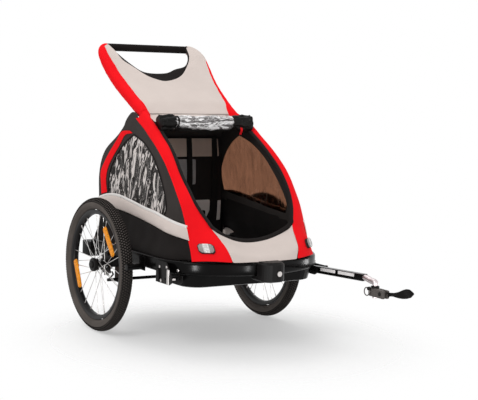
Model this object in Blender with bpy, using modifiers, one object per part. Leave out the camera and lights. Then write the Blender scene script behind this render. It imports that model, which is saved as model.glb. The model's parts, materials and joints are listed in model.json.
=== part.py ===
"""Child bike trailer: two 20 inch wheels, folding cabin frame, fabric cover and a tow arm.

Metres, +Z up.  The trailer's nose points to -Y, its left side is +X.  Every shape is written from the
middle of the axle's footprint, and the empty "trailer" moves the whole object so that it stands centred.
"""
import math

import bmesh
import bpy
from mathutils import Matrix, Vector

# Driving dimensions
AXLE_Y = 0.3302
# Height of the axle that the other heights are measured with
AXLE_Z = 0.250
CLEAR = 0.0004

TYRE_R = 0.250
TYRE_THICK = 0.047
RIM_WIDTH = 0.027
RIM_DEPTH = 0.0125
SPOKES = 28
SPOKE_R = 0.0010
AXLE_R = 0.014
STUB_R = 0.0060
CAP_R = 0.025
FLANGE_R = 0.022
BUTTON_R = 0.014
BUTTON_STROKE = 0.004
BRAKE_R = 0.045
BRAKE_ROOT = 0.036
BRAKE_TEETH = 12
BAR_R = 0.006

BAND_HALF = 0.329
# Gap from the side rail to the hub, and how far the wheel's middle and the hub's end lie beyond
HUB_GAP = 0.005
HUB_SPAN = 0.038
HUB_NOSE = 0.013
HUB_IN = BAND_HALF + HUB_GAP
WHEEL_X = HUB_IN + HUB_SPAN
HUB_OUT = WHEEL_X + HUB_NOSE
BAND_FRONT = -0.588
BAND_THICK = 0.026
BAND_LOW = 0.278
BAND_HIGH = 0.326
BAND_BACK = 0.150
REAR_IN = BAND_HALF - 0.040

FLOOR_THICK = 0.006
TRAY_HALF = BAND_HALF - 0.044
TRAY_FRONT = -0.508
TRAY_BACK = -0.376
TRAY_DEEP = 0.231

HOOP_R = 0.011
SLEEVE_R = 0.0155
FOAM_R = 0.0145
REAR_HOOP_R = 0.009
CLOTH = 0.0018
WALL_X = BAND_HALF - 0.047
# Half width of the cabin that the seam, edge and handle curves were drawn for
DRAWN_HALF = 0.282
SPREAD = WALL_X - DRAWN_HALF
WALL_Z = 0.330
WALL_LEAN = 0.117
WALL_TURN = 0.120

ARM_X = BAND_HALF - 0.024
ARM_SIDE = 0.025
ARM_PIVOT = (-0.440, 0.262)
ARM_END = (-0.747, 0.277)
BOLT_R = 0.004
NECK_R = 0.009
SPINDLE_R = 0.005

ROLL_R = 0.025
ROLL_HALF = WALL_X - 0.080
FOAM_HALF = WALL_X - 0.110
STRIPE_RISE = 0.0080

# Left outer seam of the red cover, from the bumper up to the shoulder (x, y, z)
SEAM_POINTS = [
    (0.256, -0.497, 0.327), (0.251, -0.473, 0.371), (0.249, -0.448, 0.416), (0.250, -0.428, 0.462),
    (0.251, -0.403, 0.507), (0.252, -0.371, 0.550), (0.252, -0.336, 0.593), (0.251, -0.294, 0.636),
    (0.248, -0.245, 0.677), (0.242, -0.187, 0.718), (0.233, -0.116, 0.759), (0.227, -0.055, 0.783),
    (0.222, 0.001, 0.802),
]
# Left inner edge of the red cover, beside the front opening (x, y, z)
EDGE_POINTS = [
    (0.143, -0.570, 0.327), (0.148, -0.556, 0.365), (0.156, -0.524, 0.395), (0.166, -0.489, 0.424),
    (0.180, -0.462, 0.457), (0.196, -0.438, 0.490), (0.208, -0.411, 0.523), (0.214, -0.381, 0.560),
    (0.217, -0.349, 0.594), (0.216, -0.311, 0.632), (0.210, -0.268, 0.670), (0.205, -0.221, 0.706),
    (0.201, -0.164, 0.742), (0.194, -0.103, 0.774), (0.186, -0.055, 0.790), (0.178, -0.014, 0.804),
]
# Left handle tube above the shoulder, up to the grip (x, y, z)
HANDLE_POINTS = [
    (0.1965, -0.012, 0.811), (0.198, 0.033, 0.836), (0.204, 0.091, 0.870), (0.2115, 0.152, 0.907),
    (0.219, 0.204, 0.945), (0.2245, 0.250, 0.987), (0.224, 0.291, 1.027), (0.212, 0.323, 1.051),
    (0.195, 0.3355, 1.0605),
]
GRIP = (0.337, 1.062)
# Side outline behind the seam: the back edge, then the hem (y, z)
BACK_OUTLINE = [
    (0.001, 0.8035), (0.030, 0.803), (0.058, 0.795), (0.080, 0.776), (0.115, 0.742), (0.163, 0.704),
    (0.205, 0.676), (0.230, 0.648), (0.242, 0.618), (0.246, 0.590), (0.242, 0.546), (0.222, 0.481),
    (0.202, 0.416), (0.186, 0.360), (0.180, 0.332),
]
HEM_OUTLINE = [
    (0.180, 0.332), (0.150, 0.316), (0.060, 0.304), (-0.10, 0.303), (-0.28, 0.304), (-0.39, 0.310),
    (-0.440, 0.327), (-0.494, 0.330),
]
WINDOW_BACK = [
    (-0.005, 0.732), (0.044, 0.707), (0.076, 0.683), (0.103, 0.658), (0.125, 0.630), (0.144, 0.600),
    (0.150, 0.570), (0.149, 0.541), (0.140, 0.512),
]
WINDOW_LOW = [(0.140, 0.512), (0.048, 0.507), (-0.044, 0.498), (-0.158, 0.484), (-0.296, 0.470)]
WINDOW_FRONT = [
    (-0.296, 0.470), (-0.309, 0.496), (-0.293, 0.528), (-0.271, 0.561), (-0.244, 0.593),
    (-0.213, 0.625), (-0.177, 0.656), (-0.133, 0.685), (-0.080, 0.711), (-0.005, 0.732),
]
# Padded stripe along the side: upper and lower edge (y, z)
STRIPE = [
    ((0.214, 0.474), (0.206, 0.452)), ((0.171, 0.488), (0.155, 0.4515)), ((0.114, 0.498), (0.100, 0.4515)),
    ((0.048, 0.500), (0.040, 0.4495)), ((-0.044, 0.491), (-0.049, 0.444)),
    ((-0.158, 0.477), (-0.165, 0.432)), ((-0.240, 0.470), (-0.247, 0.422)),
    ((-0.310, 0.460), (-0.320, 0.412)), ((-0.370, 0.451), (-0.384, 0.405)),
    ((-0.425, 0.443), (-0.446, 0.398)),
]
# Red strip along the rear edge of the side: outer and inner edge (y, z)
REAR_STRIP = [
    ((0.030, 0.749), (0.008, 0.741)), ((0.096, 0.742), (0.062, 0.730)), ((0.130, 0.707), (0.094, 0.697)),
    ((0.175, 0.657), (0.138, 0.644)), ((0.206, 0.615), (0.166, 0.603)), ((0.226, 0.578), (0.172, 0.568)),
    ((0.216, 0.540), (0.165, 0.537)), ((0.196, 0.492), (0.150, 0.5035)),
]

PIVOT_MAIN = Vector((0.0, -0.455, 0.308))
FOOT_X = WALL_X - 0.046
LIFT = TYRE_R - AXLE_Z
PIVOT_REAR = Vector((0.0, 0.170, 0.292))
BRAKE_PIVOT = Vector((0.0, -0.0169, 0.1914))
YAW_Y = -0.808
# Front receiver: its middle in plan, half width and socket
REC_Y = -0.592
REC_HALF = 0.047
SOCKET_Y = -0.605

COLOURS = {
    "red_cloth": ((0.90, 0.035, 0.045), 0.75, 0.0),
    "grey_cloth": ((0.70, 0.62, 0.58), 0.80, 0.0),
    "charcoal_cloth": ((0.045, 0.040, 0.038), 0.85, 0.0),
    "black_cloth": ((0.020, 0.018, 0.017), 0.85, 0.0),
    "tinted_film": ((0.16, 0.12, 0.10), 0.18, 0.0),
    "clear_film": ((0.62, 0.60, 0.60), 0.15, 0.0),
    "black_paint": ((0.012, 0.012, 0.013), 0.32, 0.0),
    "black_plastic": ((0.022, 0.022, 0.023), 0.50, 0.0),
    "tyre_rubber": ((0.030, 0.030, 0.031), 0.80, 0.0),
    "rim_black": ((0.020, 0.020, 0.022), 0.35, 0.6),
    "silver": ((0.70, 0.69, 0.68), 0.28, 1.0),
    "amber": ((0.95, 0.33, 0.02), 0.20, 0.0),
    "white_reflector": ((0.80, 0.80, 0.80), 0.15, 0.0),
    "foam": ((0.018, 0.016, 0.015), 0.90, 0.0),
}

for stale in list(bpy.data.objects):
    bpy.data.objects.remove(stale, do_unlink=True)
NODES = bpy.data.collections.new("child_bike_trailer")
CUTTERS = bpy.data.collections.new("cutters")
bpy.context.scene.collection.children.link(NODES)
bpy.context.scene.collection.children.link(CUTTERS)
BODIES = {}


def material(name):
    """The Principled material of this name, made once."""
    found = bpy.data.materials.get(name)
    if found:
        return found
    colour, rough, metal = COLOURS[name]
    mat = bpy.data.materials.new(name)
    mat.use_nodes = True
    shader = mat.node_tree.nodes["Principled BSDF"]
    shader.inputs["Base Color"].default_value = (*colour, 1.0)
    shader.inputs["Roughness"].default_value = rough
    shader.inputs["Metallic"].default_value = metal
    mat.diffuse_color = (*colour, 1.0)
    return mat


def body(name, at, parent=None):
    """An empty on a joint's axis, at a place given from the axle's footprint."""
    empty = bpy.data.objects.new(name, None)
    empty.empty_display_size = 0.05
    NODES.objects.link(empty)
    at = Vector(at)
    if parent:
        empty.parent = BODIES[parent][0]
        empty.location = at - BODIES[parent][1]
    else:
        empty.location = at + Vector((0.0, AXLE_Y, LIFT))
    BODIES[name] = (empty, at)


def to_object(name, bm, owner, where):
    """Write a bmesh to an object that hangs on its body's empty."""
    empty, at = BODIES[owner]
    bmesh.ops.transform(bm, matrix=Matrix.Translation(-at), verts=bm.verts)
    mesh = bpy.data.meshes.new(name)
    bm.to_mesh(mesh)
    bm.free()
    obj = bpy.data.objects.new(name, mesh)
    where.objects.link(obj)
    obj.parent = empty
    return obj


def boolean(obj, name, bm, owner, kind, crossing=False):
    """Add or cut a second shape with a live modifier."""
    tool = to_object(name, bm, owner, CUTTERS)
    tool.hide_render = True
    tool.display_type = "WIRE"
    mod = obj.modifiers.new(name, "BOOLEAN")
    mod.operation = kind
    mod.solver = "EXACT"
    mod.use_self = crossing
    mod.object = tool


def node(name, bm, owner, mat, adds=(), cuts=(), smooth=True, crossing=False, angle=35):
    """One named piece of the trailer."""
    bmesh.ops.recalc_face_normals(bm, faces=bm.faces)
    obj = to_object(name, bm, owner, NODES)
    obj.data.materials.append(material(mat))
    for i, extra in enumerate(adds):
        bmesh.ops.recalc_face_normals(extra, faces=extra.faces)
        boolean(obj, f"{name}_add{i}", extra, owner, "UNION", crossing)
    for i, extra in enumerate(cuts):
        bmesh.ops.recalc_face_normals(extra, faces=extra.faces)
        boolean(obj, f"{name}_cut{i}", extra, owner, "DIFFERENCE")
    if smooth:
        obj.data.shade_smooth()
        obj.data.set_sharp_from_angle(angle=math.radians(angle))
    return obj


def sheet(name, bm, owner, mat, thick=CLOTH, middle=(0.0, -0.1, 0.5), offset=-1.0):
    """A piece of cloth or film: an open surface given its thickness inwards."""
    centre = Vector(middle)
    bmesh.ops.recalc_face_normals(bm, faces=bm.faces)
    outward = sum((f.calc_center_median() - centre).dot(f.normal) * f.calc_area() for f in bm.faces)
    if outward < 0:
        bmesh.ops.reverse_faces(bm, faces=bm.faces)
    obj = to_object(name, bm, owner, NODES)
    obj.data.materials.append(material(mat))
    mod = obj.modifiers.new("thickness", "SOLIDIFY")
    mod.thickness = thick
    mod.offset = offset
    mod.use_even_offset = True
    mod.use_rim = True
    obj.data.shade_smooth()
    obj.data.set_sharp_from_angle(angle=math.radians(40))
    return obj


def box(x0, x1, y0, y1, z0, z1, bevel=0.0, segments=2):
    """An upright block, its edges rounded where bevel is given."""
    bm = bmesh.new()
    size = Vector((abs(x1 - x0), abs(y1 - y0), abs(z1 - z0)))
    place = Matrix.Translation(((x0 + x1) / 2, (y0 + y1) / 2, (z0 + z1) / 2))
    bmesh.ops.create_cube(bm, size=1.0, matrix=place @ Matrix.Diagonal((*size, 1.0)))
    if bevel:
        bmesh.ops.bevel(bm, geom=bm.edges[:], offset=bevel, segments=segments, profile=0.5,
                        affect="EDGES")
    return bm


def rod(start, end, radius, sides=16, radius2=None):
    """A round bar between two points."""
    a = Vector(start)
    b = Vector(end)
    bm = bmesh.new()
    turn = (b - a).to_track_quat("Z", "Y").to_matrix().to_4x4()
    place = Matrix.Translation((a + b) / 2) @ turn
    bmesh.ops.create_cone(bm, cap_ends=True, segments=sides, radius1=radius,
                          radius2=radius if radius2 is None else radius2, depth=(b - a).length,
                          matrix=place)
    return bm


def lathe(profile, centre, steps=48, closed=True):
    """Turn a profile of (x, radius) points about the X axis through centre (y, z)."""
    bm = bmesh.new()
    verts = [bm.verts.new((x, centre[0], centre[1] + r)) for x, r in profile]
    pairs = list(zip(verts, verts[1:]))
    if closed:
        pairs.append((verts[-1], verts[0]))
    edges = [bm.edges.new(pair) for pair in pairs]
    bmesh.ops.spin(bm, geom=verts + edges, cent=(0.0, *centre), axis=(1.0, 0.0, 0.0),
                   angle=2 * math.pi, steps=steps, use_merge=True, use_duplicate=False)
    bmesh.ops.remove_doubles(bm, verts=bm.verts, dist=1e-6)
    return bm


def even(points, count):
    """Points spaced evenly along a polyline."""
    pts = [Vector(p) for p in points]
    runs = [0.0]
    for a, b in zip(pts, pts[1:]):
        runs.append(runs[-1] + (b - a).length)
    out = []
    k = 0
    for i in range(count):
        want = runs[-1] * i / (count - 1)
        while k < len(runs) - 2 and runs[k + 1] < want:
            k += 1
        span = runs[k + 1] - runs[k]
        t = (want - runs[k]) / span if span else 0.0
        out.append(pts[k].lerp(pts[k + 1], min(max(t, 0.0), 1.0)))
    return out


def smooth_path(points, count):
    """Evenly spaced points on a smooth curve through the given points."""
    pts = [Vector(p) for p in points]
    pts = [pts[0] * 2 - pts[1]] + pts + [pts[-1] * 2 - pts[-2]]
    fine = []
    for i in range(1, len(pts) - 2):
        a, b, c, d = pts[i - 1], pts[i], pts[i + 1], pts[i + 2]
        for k in range(12):
            t = k / 12
            fine.append(0.5 * (2 * b + (c - a) * t + (2 * a - 5 * b + 4 * c - d) * t * t
                               + (3 * b - a - 3 * c + d) * t ** 3))
    fine.append(pts[-2])
    return even(fine, count)


def loft(rings, loop=False):
    """A closed skin over rings of equal length; loop joins the last ring to the first."""
    bm = bmesh.new()
    rows = [[bm.verts.new(p) for p in ring] for ring in rings]
    n = len(rows[0])
    pairs = list(zip(rows, rows[1:]))
    if loop:
        pairs.append((rows[-1], rows[0]))
    for low, high in pairs:
        for i in range(n):
            bm.faces.new((low[i], low[(i + 1) % n], high[(i + 1) % n], high[i]))
    if not loop:
        bm.faces.new(rows[0][::-1])
        bm.faces.new(rows[-1])
    return bm


def quilt(rows, wrap=False):
    """An open surface over rows of points; wrap joins each row's end to its start."""
    bm = bmesh.new()
    grid = [[bm.verts.new(p) for p in row] for row in rows]
    for low, high in zip(grid, grid[1:]):
        last = len(low) if wrap else len(low) - 1
        for i in range(last):
            j = (i + 1) % len(low)
            bm.faces.new((low[i], low[j], high[j], high[i]))
    return bm


def frames(points, up=Vector((0.0, 0.0, 1.0))):
    """Tangent, side and normal at each point of a path, turned as little as possible."""
    out = []
    normal = None
    for i, p in enumerate(points):
        a = points[max(i - 1, 0)]
        b = points[min(i + 1, len(points) - 1)]
        tangent = (b - a).normalized()
        if normal is None:
            normal = (up - tangent * up.dot(tangent)).normalized()
        else:
            normal = (normal - tangent * normal.dot(tangent)).normalized()
        out.append((tangent, tangent.cross(normal), normal))
    return out


def rings_on(points, outline, scale=None, up=Vector((0.0, 0.0, 1.0))):
    """The outline of (side, normal) offsets, set on each point of a path."""
    rings = []
    for i, (p, (_, side, normal)) in enumerate(zip(points, frames(points, up))):
        k = scale[i] if scale else 1.0
        rings.append([p + side * (a * k) + normal * (b * k) for a, b in outline])
    return rings


def circle(radius, sides):
    return [(radius * math.cos(2 * math.pi * i / sides), radius * math.sin(2 * math.pi * i / sides))
            for i in range(sides)]


def tube(points, radius, sides=12, up=Vector((0.0, 0.0, 1.0))):
    """A solid round bar along a path."""
    return loft(rings_on([Vector(p) for p in points], circle(radius, sides), up=up))


def pipe(points, outer, inner, sides=12):
    """A hollow round sleeve along a path."""
    path = [Vector(p) for p in points]
    skin = rings_on(path, circle(outer, sides))
    bore = rings_on(path, circle(inner, sides))
    return loft(skin + bore[::-1], loop=True)


def mirror(points):
    return [Vector((-p[0], p[1], p[2])) for p in points]


def joined(meshes):
    """Several separate shells in one bmesh."""
    out = bmesh.new()
    for bm in meshes:
        temp = bpy.data.meshes.new("shell")
        bmesh.ops.recalc_face_normals(bm, faces=bm.faces)
        bm.to_mesh(temp)
        bm.free()
        out.from_mesh(temp)
        bpy.data.meshes.remove(temp)
    return out




def spread(points):
    """Points of the left side moved out as the cabin widens."""
    return [Vector((p[0] + SPREAD, p[1], p[2])) for p in points]


SEAM = smooth_path(spread(SEAM_POINTS), 90)
EDGE = smooth_path(spread(EDGE_POINTS), 90)
HANDLE = spread(HANDLE_POINTS)


def at_height(curve, z):
    """Where a rising curve passes a height."""
    if z <= curve[0].z:
        return curve[0].copy()
    for a, b in zip(curve, curve[1:]):
        if b.z >= z:
            return a.lerp(b, (z - a.z) / (b.z - a.z))
    return curve[-1].copy()


def band_line():
    """Outer face of the bumper band in plan, left half, from the nose to the rear (x, y)."""
    # Nose curve: distance in from the straight side and back from the front
    half = [(0.269, 0.004), (0.209, 0.019), (0.149, 0.041), (0.093, 0.071), (0.048, 0.110),
            (0.017, 0.159), (0.003, 0.210), (0.0, 0.262), (0.0, 0.330)]
    nose = [(0.0, BAND_FRONT)] + [(BAND_HALF - a, BAND_FRONT + b) for a, b in half]
    return smooth_path([(x, y, 0.0) for x, y in nose], 17)


BAND = band_line()


def band_offset(depth):
    """The band's plan line moved inwards by depth, left half."""
    out = []
    for i, p in enumerate(BAND):
        a = BAND[max(i - 1, 0)]
        b = BAND[min(i + 1, len(BAND) - 1)]
        run = (b - a).normalized()
        if i == 0:
            run = Vector((1.0, 0.0, 0.0))
        out.append(p + Vector((-run.y, run.x, 0.0)) * depth)
    return out


BAND_INNER = band_offset(BAND_THICK)


def inner_x(y):
    """Half width between the inner faces of the band at y."""
    if y >= BAND_INNER[-1].y:
        return BAND_HALF - BAND_THICK
    for a, b in zip(BAND_INNER, BAND_INNER[1:]):
        if a.y <= y <= b.y and b.y > a.y:
            return a.x + (b.x - a.x) * (y - a.y) / (b.y - a.y)
    return 0.0


def wall_plane(z):
    return WALL_X - WALL_LEAN * (z - WALL_Z)


def wall_x(y, z):
    """Half width of the cabin's side at (y, z)."""
    front = at_height(SEAM, z)
    reach = max(0.0, 1.0 - max(0.0, y - front.y) / WALL_TURN)
    x = wall_plane(z) + (front.x - wall_plane(front.z)) * reach ** 2
    hem = min(1.0, max(0.0, (0.385 - z) / 0.065))
    along = min(1.0, max(0.0, (y + 0.46) / 0.10))
    x += 0.022 * hem * hem * (3 - 2 * hem) * along
    return min(x, max(inner_x(y), front.x + 0.0012) - 0.0012)


def wall(points, side, lift=0.0):
    return [Vector((side * (wall_x(y, z) + lift), y, z)) for y, z in points]


# Bodies and the axes that they turn or slide on
body("trailer", (0.0, 0.0, 0.0))
body("chassis", (0.0, 0.0, 0.0), "trailer")
body("main_frame", PIVOT_MAIN, "trailer")
body("rear_frame", PIVOT_REAR, "trailer")
body("brake", BRAKE_PIVOT, "trailer")
body("tow_arm", (ARM_X, *ARM_PIVOT), "trailer")
body("hitch", (ARM_X, YAW_Y, 0.24), "tow_arm")
body("receiver_push", (0.010, REC_Y - 0.048, 0.291), "trailer")
for side, word in ((1, "left"), (-1, "right")):
    body(f"wheel_{word}", (side * WHEEL_X, 0.0, AXLE_Z), "trailer")
    body(f"release_{word}", (side * (HUB_OUT + 0.016), 0.0, AXLE_Z), f"wheel_{word}")
    body(f"lock_{word}", (side * 0.335, -0.466, 0.262), "trailer")

# Wheels
HUB_C = (0.0, AXLE_Z)
TORUS_R = TYRE_R - TYRE_THICK / 2


def under_tyre(x, gap):
    """Radius just inside the tyre at a distance x from its middle."""
    return TORUS_R - math.sqrt((TYRE_THICK / 2) ** 2 - x * x) - gap


def wheel(side, word):
    mid = side * WHEEL_X
    sec = TYRE_THICK / 2
    tyre = []
    for i in range(12):
        a = 2 * math.pi * i / 12 + math.pi / 12
        tyre.append((mid + sec * math.cos(a) / math.cos(math.pi / 12),
                     TORUS_R + min(sec, sec * math.sin(a) / math.cos(math.pi / 12))))
    node(f"tyre_{word}", lathe(tyre, HUB_C, 36), f"wheel_{word}", "tyre_rubber")
    w = RIM_WIDTH / 2
    base = under_tyre(0.0, 0.0015)
    rim = [(mid - w, under_tyre(w, 0.0015)), (mid - w * 0.55, under_tyre(w * 0.55, 0.0015)),
           (mid, base), (mid + w * 0.55, under_tyre(w * 0.55, 0.0015)),
           (mid + w, under_tyre(w, 0.0015)), (mid + w, base - 0.004),
           (mid + w * 0.6, base - RIM_DEPTH), (mid - w * 0.6, base - RIM_DEPTH),
           (mid - w, base - 0.004)]
    node(f"rim_{word}", lathe(rim, HUB_C, 36), f"wheel_{word}", "rim_black")
    inner_r = (base - RIM_DEPTH) * math.cos(math.pi / 36) - 0.0009
    s = side
    hub = [(s * HUB_IN, STUB_R + CLEAR), (s * HUB_IN, BRAKE_ROOT), (s * (HUB_IN + 0.006), BRAKE_ROOT),
           (s * (HUB_IN + 0.007), AXLE_R), (s * (WHEEL_X - 0.0185), AXLE_R),
           (s * (WHEEL_X - 0.0185), FLANGE_R), (s * (WHEEL_X - 0.0155), FLANGE_R),
           (s * (WHEEL_X - 0.0155), 0.0125), (s * (WHEEL_X + 0.0035), 0.0125),
           (s * (WHEEL_X + 0.0035), FLANGE_R), (s * (WHEEL_X + 0.0065), FLANGE_R),
           (s * (WHEEL_X + 0.0065), 0.016), (s * HUB_OUT, 0.016), (s * HUB_OUT, CAP_R),
           (s * (HUB_OUT + 0.010), CAP_R), (s * (HUB_OUT + 0.013), CAP_R - 0.003),
           (s * (HUB_OUT + 0.013), BUTTON_R + CLEAR), (s * (HUB_OUT + 0.005), BUTTON_R + CLEAR),
           (s * (HUB_OUT + 0.005), STUB_R + CLEAR)]
    spokes = []
    outer_runs = []
    for flange in (0, 1):
        x0 = WHEEL_X + (-0.017, 0.005)[flange]
        x1 = (WHEEL_X - 0.003, WHEEL_X + 0.003)[flange]
        for k in range(SPOKES // 2):
            lean = 1 if k % 2 else -1
            a0 = 2 * math.pi * (k + 0.5 * flange) / (SPOKES // 2)
            a1 = a0 + lean * math.radians(56)
            off = lean * 0.0014
            p0 = Vector((s * (x0 + off), (FLANGE_R - 0.0015) * math.cos(a0),
                         AXLE_Z + (FLANGE_R - 0.0015) * math.sin(a0)))
            p1 = Vector((s * (x1 + off * 0.6), inner_r * math.cos(a1), AXLE_Z + inner_r * math.sin(a1)))
            spokes.append(rod(p0, p1, SPOKE_R, 5))
            if flange:
                outer_runs.append((p0, p1))
    teeth = []
    for k in range(BRAKE_TEETH):
        a = 2 * math.pi * (k + 0.5) / BRAKE_TEETH - math.radians(155)
        turn = Matrix.Translation((0.0, 0.0, AXLE_Z)) @ Matrix.Rotation(a, 4, "X")
        tooth = box(s * (HUB_IN + 0.0004), s * (HUB_IN + 0.0056), BRAKE_ROOT - 0.003, BRAKE_R,
                    -0.0042, 0.0042)
        bmesh.ops.transform(tooth, matrix=turn, verts=tooth.verts)
        teeth.append(tooth)
    node(f"hub_{word}", lathe(hub, HUB_C, 14), f"wheel_{word}", "silver",
         adds=[joined(spokes), joined(teeth)])
    # Amber reflectors, clipped to the spokes on the outer side
    for tag, pair in (("front", ((-0.075, 0.150), (-0.152, 0.053))),
                      ("rear", ((0.164, -0.004), (0.115, -0.106)))):
        scale = inner_r / 0.1874
        a = Vector((0.0, pair[0][0] * scale, AXLE_Z + pair[0][1] * scale))
        b = Vector((0.0, pair[1][0] * scale, AXLE_Z + pair[1][1] * scale))
        mid_p = (a + b) / 2
        long = (b - a).normalized()
        wide = Vector((1.0, 0.0, 0.0)).cross(long)
        rings = []
        for k, inset in ((0.0, 0.002), (0.35, 0.0), (1.0, 0.0035)):
            x = s * (WHEEL_X + 0.0116 + 0.0085 * k)
            half = (b - a).length / 2 - inset
            w2 = 0.0115 - inset
            ring = []
            for u, v in ((-1, -0.45), (-0.93, -1), (0, -1.12), (0.93, -1), (1, -0.45), (1, 0.45),
                         (0.93, 1), (0, 1.0), (-0.93, 1), (-1, 0.45)):
                ring.append(mid_p + long * (u * half) + wide * (v * w2) + Vector((x, 0.0, 0.0)))
            rings.append(ring)
        # Each clip reaches in to a spoke that runs behind the reflector
        clip = []
        for u0, u1 in ((-0.8, -0.1), (0.1, 0.8)):
            best = None
            for p0, p1 in outer_runs:
                run = p1 - p0
                det = long.y * run.z - long.z * run.y
                if abs(det) < 0.0005:
                    continue
                to = p0 - mid_p
                u = (to.y * run.z - to.z * run.y) / det / ((b - a).length / 2)
                t = (to.y * long.z - to.z * long.y) / det
                if 0.0 < t < 1.0 and u0 < u < u1:
                    hit = p0.lerp(p1, t)
                    if best is None or abs(hit.x) > abs(best.x):
                        best = hit
            if best is not None:
                face = abs(best.x) + SPOKE_R + CLEAR
                clip.append(box(s * face, s * (WHEEL_X + 0.0130), best.y - 0.004, best.y + 0.004,
                                best.z - 0.004, best.z + 0.004))
        node(f"wheel_reflector_{tag}_{word}", loft(rings), f"wheel_{word}", "amber",
             adds=[joined(clip)])
    push = [(s * (HUB_OUT + 0.0095), 0.0), (s * (HUB_OUT + 0.0095), BUTTON_R),
            (s * (HUB_OUT + 0.017), BUTTON_R), (s * (HUB_OUT + 0.0195), BUTTON_R - 0.003),
            (s * (HUB_OUT + 0.0195), 0.0)]
    node(f"release_button_{word}", lathe(push, HUB_C, 20, closed=False), f"release_{word}",
         "black_plastic")


for side, word in ((1, "left"), (-1, "right")):
    wheel(side, word)

# Axle under the floor with its hangers, and stub ends that carry the hubs
axle_adds = []
for s in (1, -1):
    axle_adds.append(rod((s * (BAND_HALF - 0.009), 0, AXLE_Z), (s * (HUB_OUT + 0.0045), 0, AXLE_Z),
                         STUB_R, 14))
    axle_adds.append(box(s * (BAND_HALF - 0.029), s * (BAND_HALF - 0.0005), -0.030, 0.030,
                         AXLE_Z - 0.004, BAND_LOW - CLEAR))
    axle_adds.append(box(s * (BAND_HALF - 0.037), s * (BAND_HALF - 0.030), -0.030, 0.004,
                         BRAKE_PIVOT.z - 0.0104, AXLE_Z))
hole_x = BAND_HALF - 0.019
axle_cuts = [rod((-hole_x, BRAKE_PIVOT.y, BRAKE_PIVOT.z), (hole_x, BRAKE_PIVOT.y, BRAKE_PIVOT.z),
                 BAR_R + CLEAR, 20)]
end_x = BAND_HALF + 0.0015
node("axle", rod((-end_x, 0, AXLE_Z), (end_x, 0, AXLE_Z), AXLE_R, 20), "chassis", "black_paint",
     adds=axle_adds, cuts=axle_cuts)

# Parking brake: one bar whose hooked end fingers drop into the toothed rings, with a rear pedal
gap_dir = Vector((0.0, math.cos(math.radians(155)), -math.sin(math.radians(155))))
gap_side = Vector((0.0, -gap_dir.z, gap_dir.y))
hub_mid = Vector((0.0, 0.0, AXLE_Z))
corner = hub_mid + gap_dir * 0.0535
shank = (corner - BRAKE_PIVOT).normalized()
shank_side = Vector((0.0, shank.z, -shank.y))
finger = [hub_mid + gap_dir * 0.0398 + gap_side * 0.0020, hub_mid + gap_dir * 0.0398 - gap_side * 0.0020,
          hub_mid + gap_dir * 0.0565 - gap_side * 0.0024, BRAKE_PIVOT - shank_side * 0.0040,
          BRAKE_PIVOT + shank_side * 0.0030, hub_mid + gap_dir * 0.0505 + gap_side * 0.0026]
lift_off = Matrix.Rotation(math.radians(14), 4, "X")
finger = [lift_off @ (p - BRAKE_PIVOT) + BRAKE_PIVOT for p in finger]
brake_adds = []
for s in (1, -1):
    brake_adds.append(loft([[Vector((s * x, p.y, p.z)) for p in finger]
                            for x in (HUB_IN + 0.0005, HUB_IN + 0.0045)]))
lever = [Vector((0.0, BRAKE_PIVOT.y, BRAKE_PIVOT.z)), Vector((0.0, 0.05, 0.186)),
         Vector((0.0, 0.16, 0.190)), Vector((0.0, 0.235, 0.205))]
brake_adds.append(tube(lever, 0.0055, 10))
brake_adds.append(box(-0.045, 0.045, 0.222, 0.262, 0.198, 0.210, 0.003))
bar_x = HUB_IN + 0.0052
node("brake_bar", rod((-bar_x, BRAKE_PIVOT.y, BRAKE_PIVOT.z), (bar_x, BRAKE_PIVOT.y, BRAKE_PIVOT.z),
                      BAR_R, 16), "brake", "black_paint", adds=brake_adds)

# Bumper band: a deep oval section that runs round the nose and back along both sides
mid_line = band_offset(BAND_THICK / 2)
half = [Vector((p.x, p.y, (BAND_LOW + BAND_HIGH) / 2)) for p in mid_line]
half.append(Vector((BAND_HALF - BAND_THICK / 2, BAND_BACK - 0.12, (BAND_LOW + BAND_HIGH) / 2)))
half.append(Vector((BAND_HALF - BAND_THICK / 2, BAND_BACK, (BAND_LOW + BAND_HIGH) / 2)))
band_path = mirror(half[::-1])[:-1] + half
bt = BAND_THICK / 2
bh = (BAND_HIGH - BAND_LOW) / 2
band_outline = [(bt, -bh + 0.007), (bt, bh - 0.007), (bt - 0.004, bh - 0.0015), (bt - 0.010, bh),
                (-bt + 0.003, bh), (-bt, bh - 0.003), (-bt, -bh + 0.003), (-bt + 0.003, -bh),
                (bt - 0.010, -bh), (bt - 0.004, -bh + 0.0015)]
lugs = []
lug_cuts = []
for s in (1, -1):
    lugs.append(box(s * (FOOT_X + 0.013), s * (inner_x(PIVOT_MAIN.y) + 0.008), PIVOT_MAIN.y - 0.008,
                    PIVOT_MAIN.y + 0.012, 0.292, 0.3225))
    lug_cuts.append(rod((s * FOOT_X, PIVOT_MAIN.y, PIVOT_MAIN.z), (s * (FOOT_X + 0.0190), PIVOT_MAIN.y,
                         PIVOT_MAIN.z), 0.0054, 16))
node("bumper_band", loft(rings_on(band_path, band_outline)), "chassis", "black_paint",
     adds=[joined(lugs)], cuts=[joined(lug_cuts)])

# End fittings of the side rails and the tube between them
for s, word in ((1, "left"), (-1, "right")):
    fitting = box(s * REAR_IN, s * (BAND_HALF + 0.0015), BAND_BACK + CLEAR, 0.224, 0.256, 0.312, 0.004)
    node(f"rear_bracket_{word}", fitting, "chassis", "black_plastic",
         cuts=[rod((s * (REAR_IN - 0.019), PIVOT_REAR.y, PIVOT_REAR.z),
                   (s * (REAR_IN + 0.0085), PIVOT_REAR.y, PIVOT_REAR.z),
                   0.0054, 16)])
node("rear_tube", rod((CLEAR - REAR_IN, 0.206, 0.272), (REAR_IN - CLEAR, 0.206, 0.272), 0.011, 20),
     "chassis", "black_paint")

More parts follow.
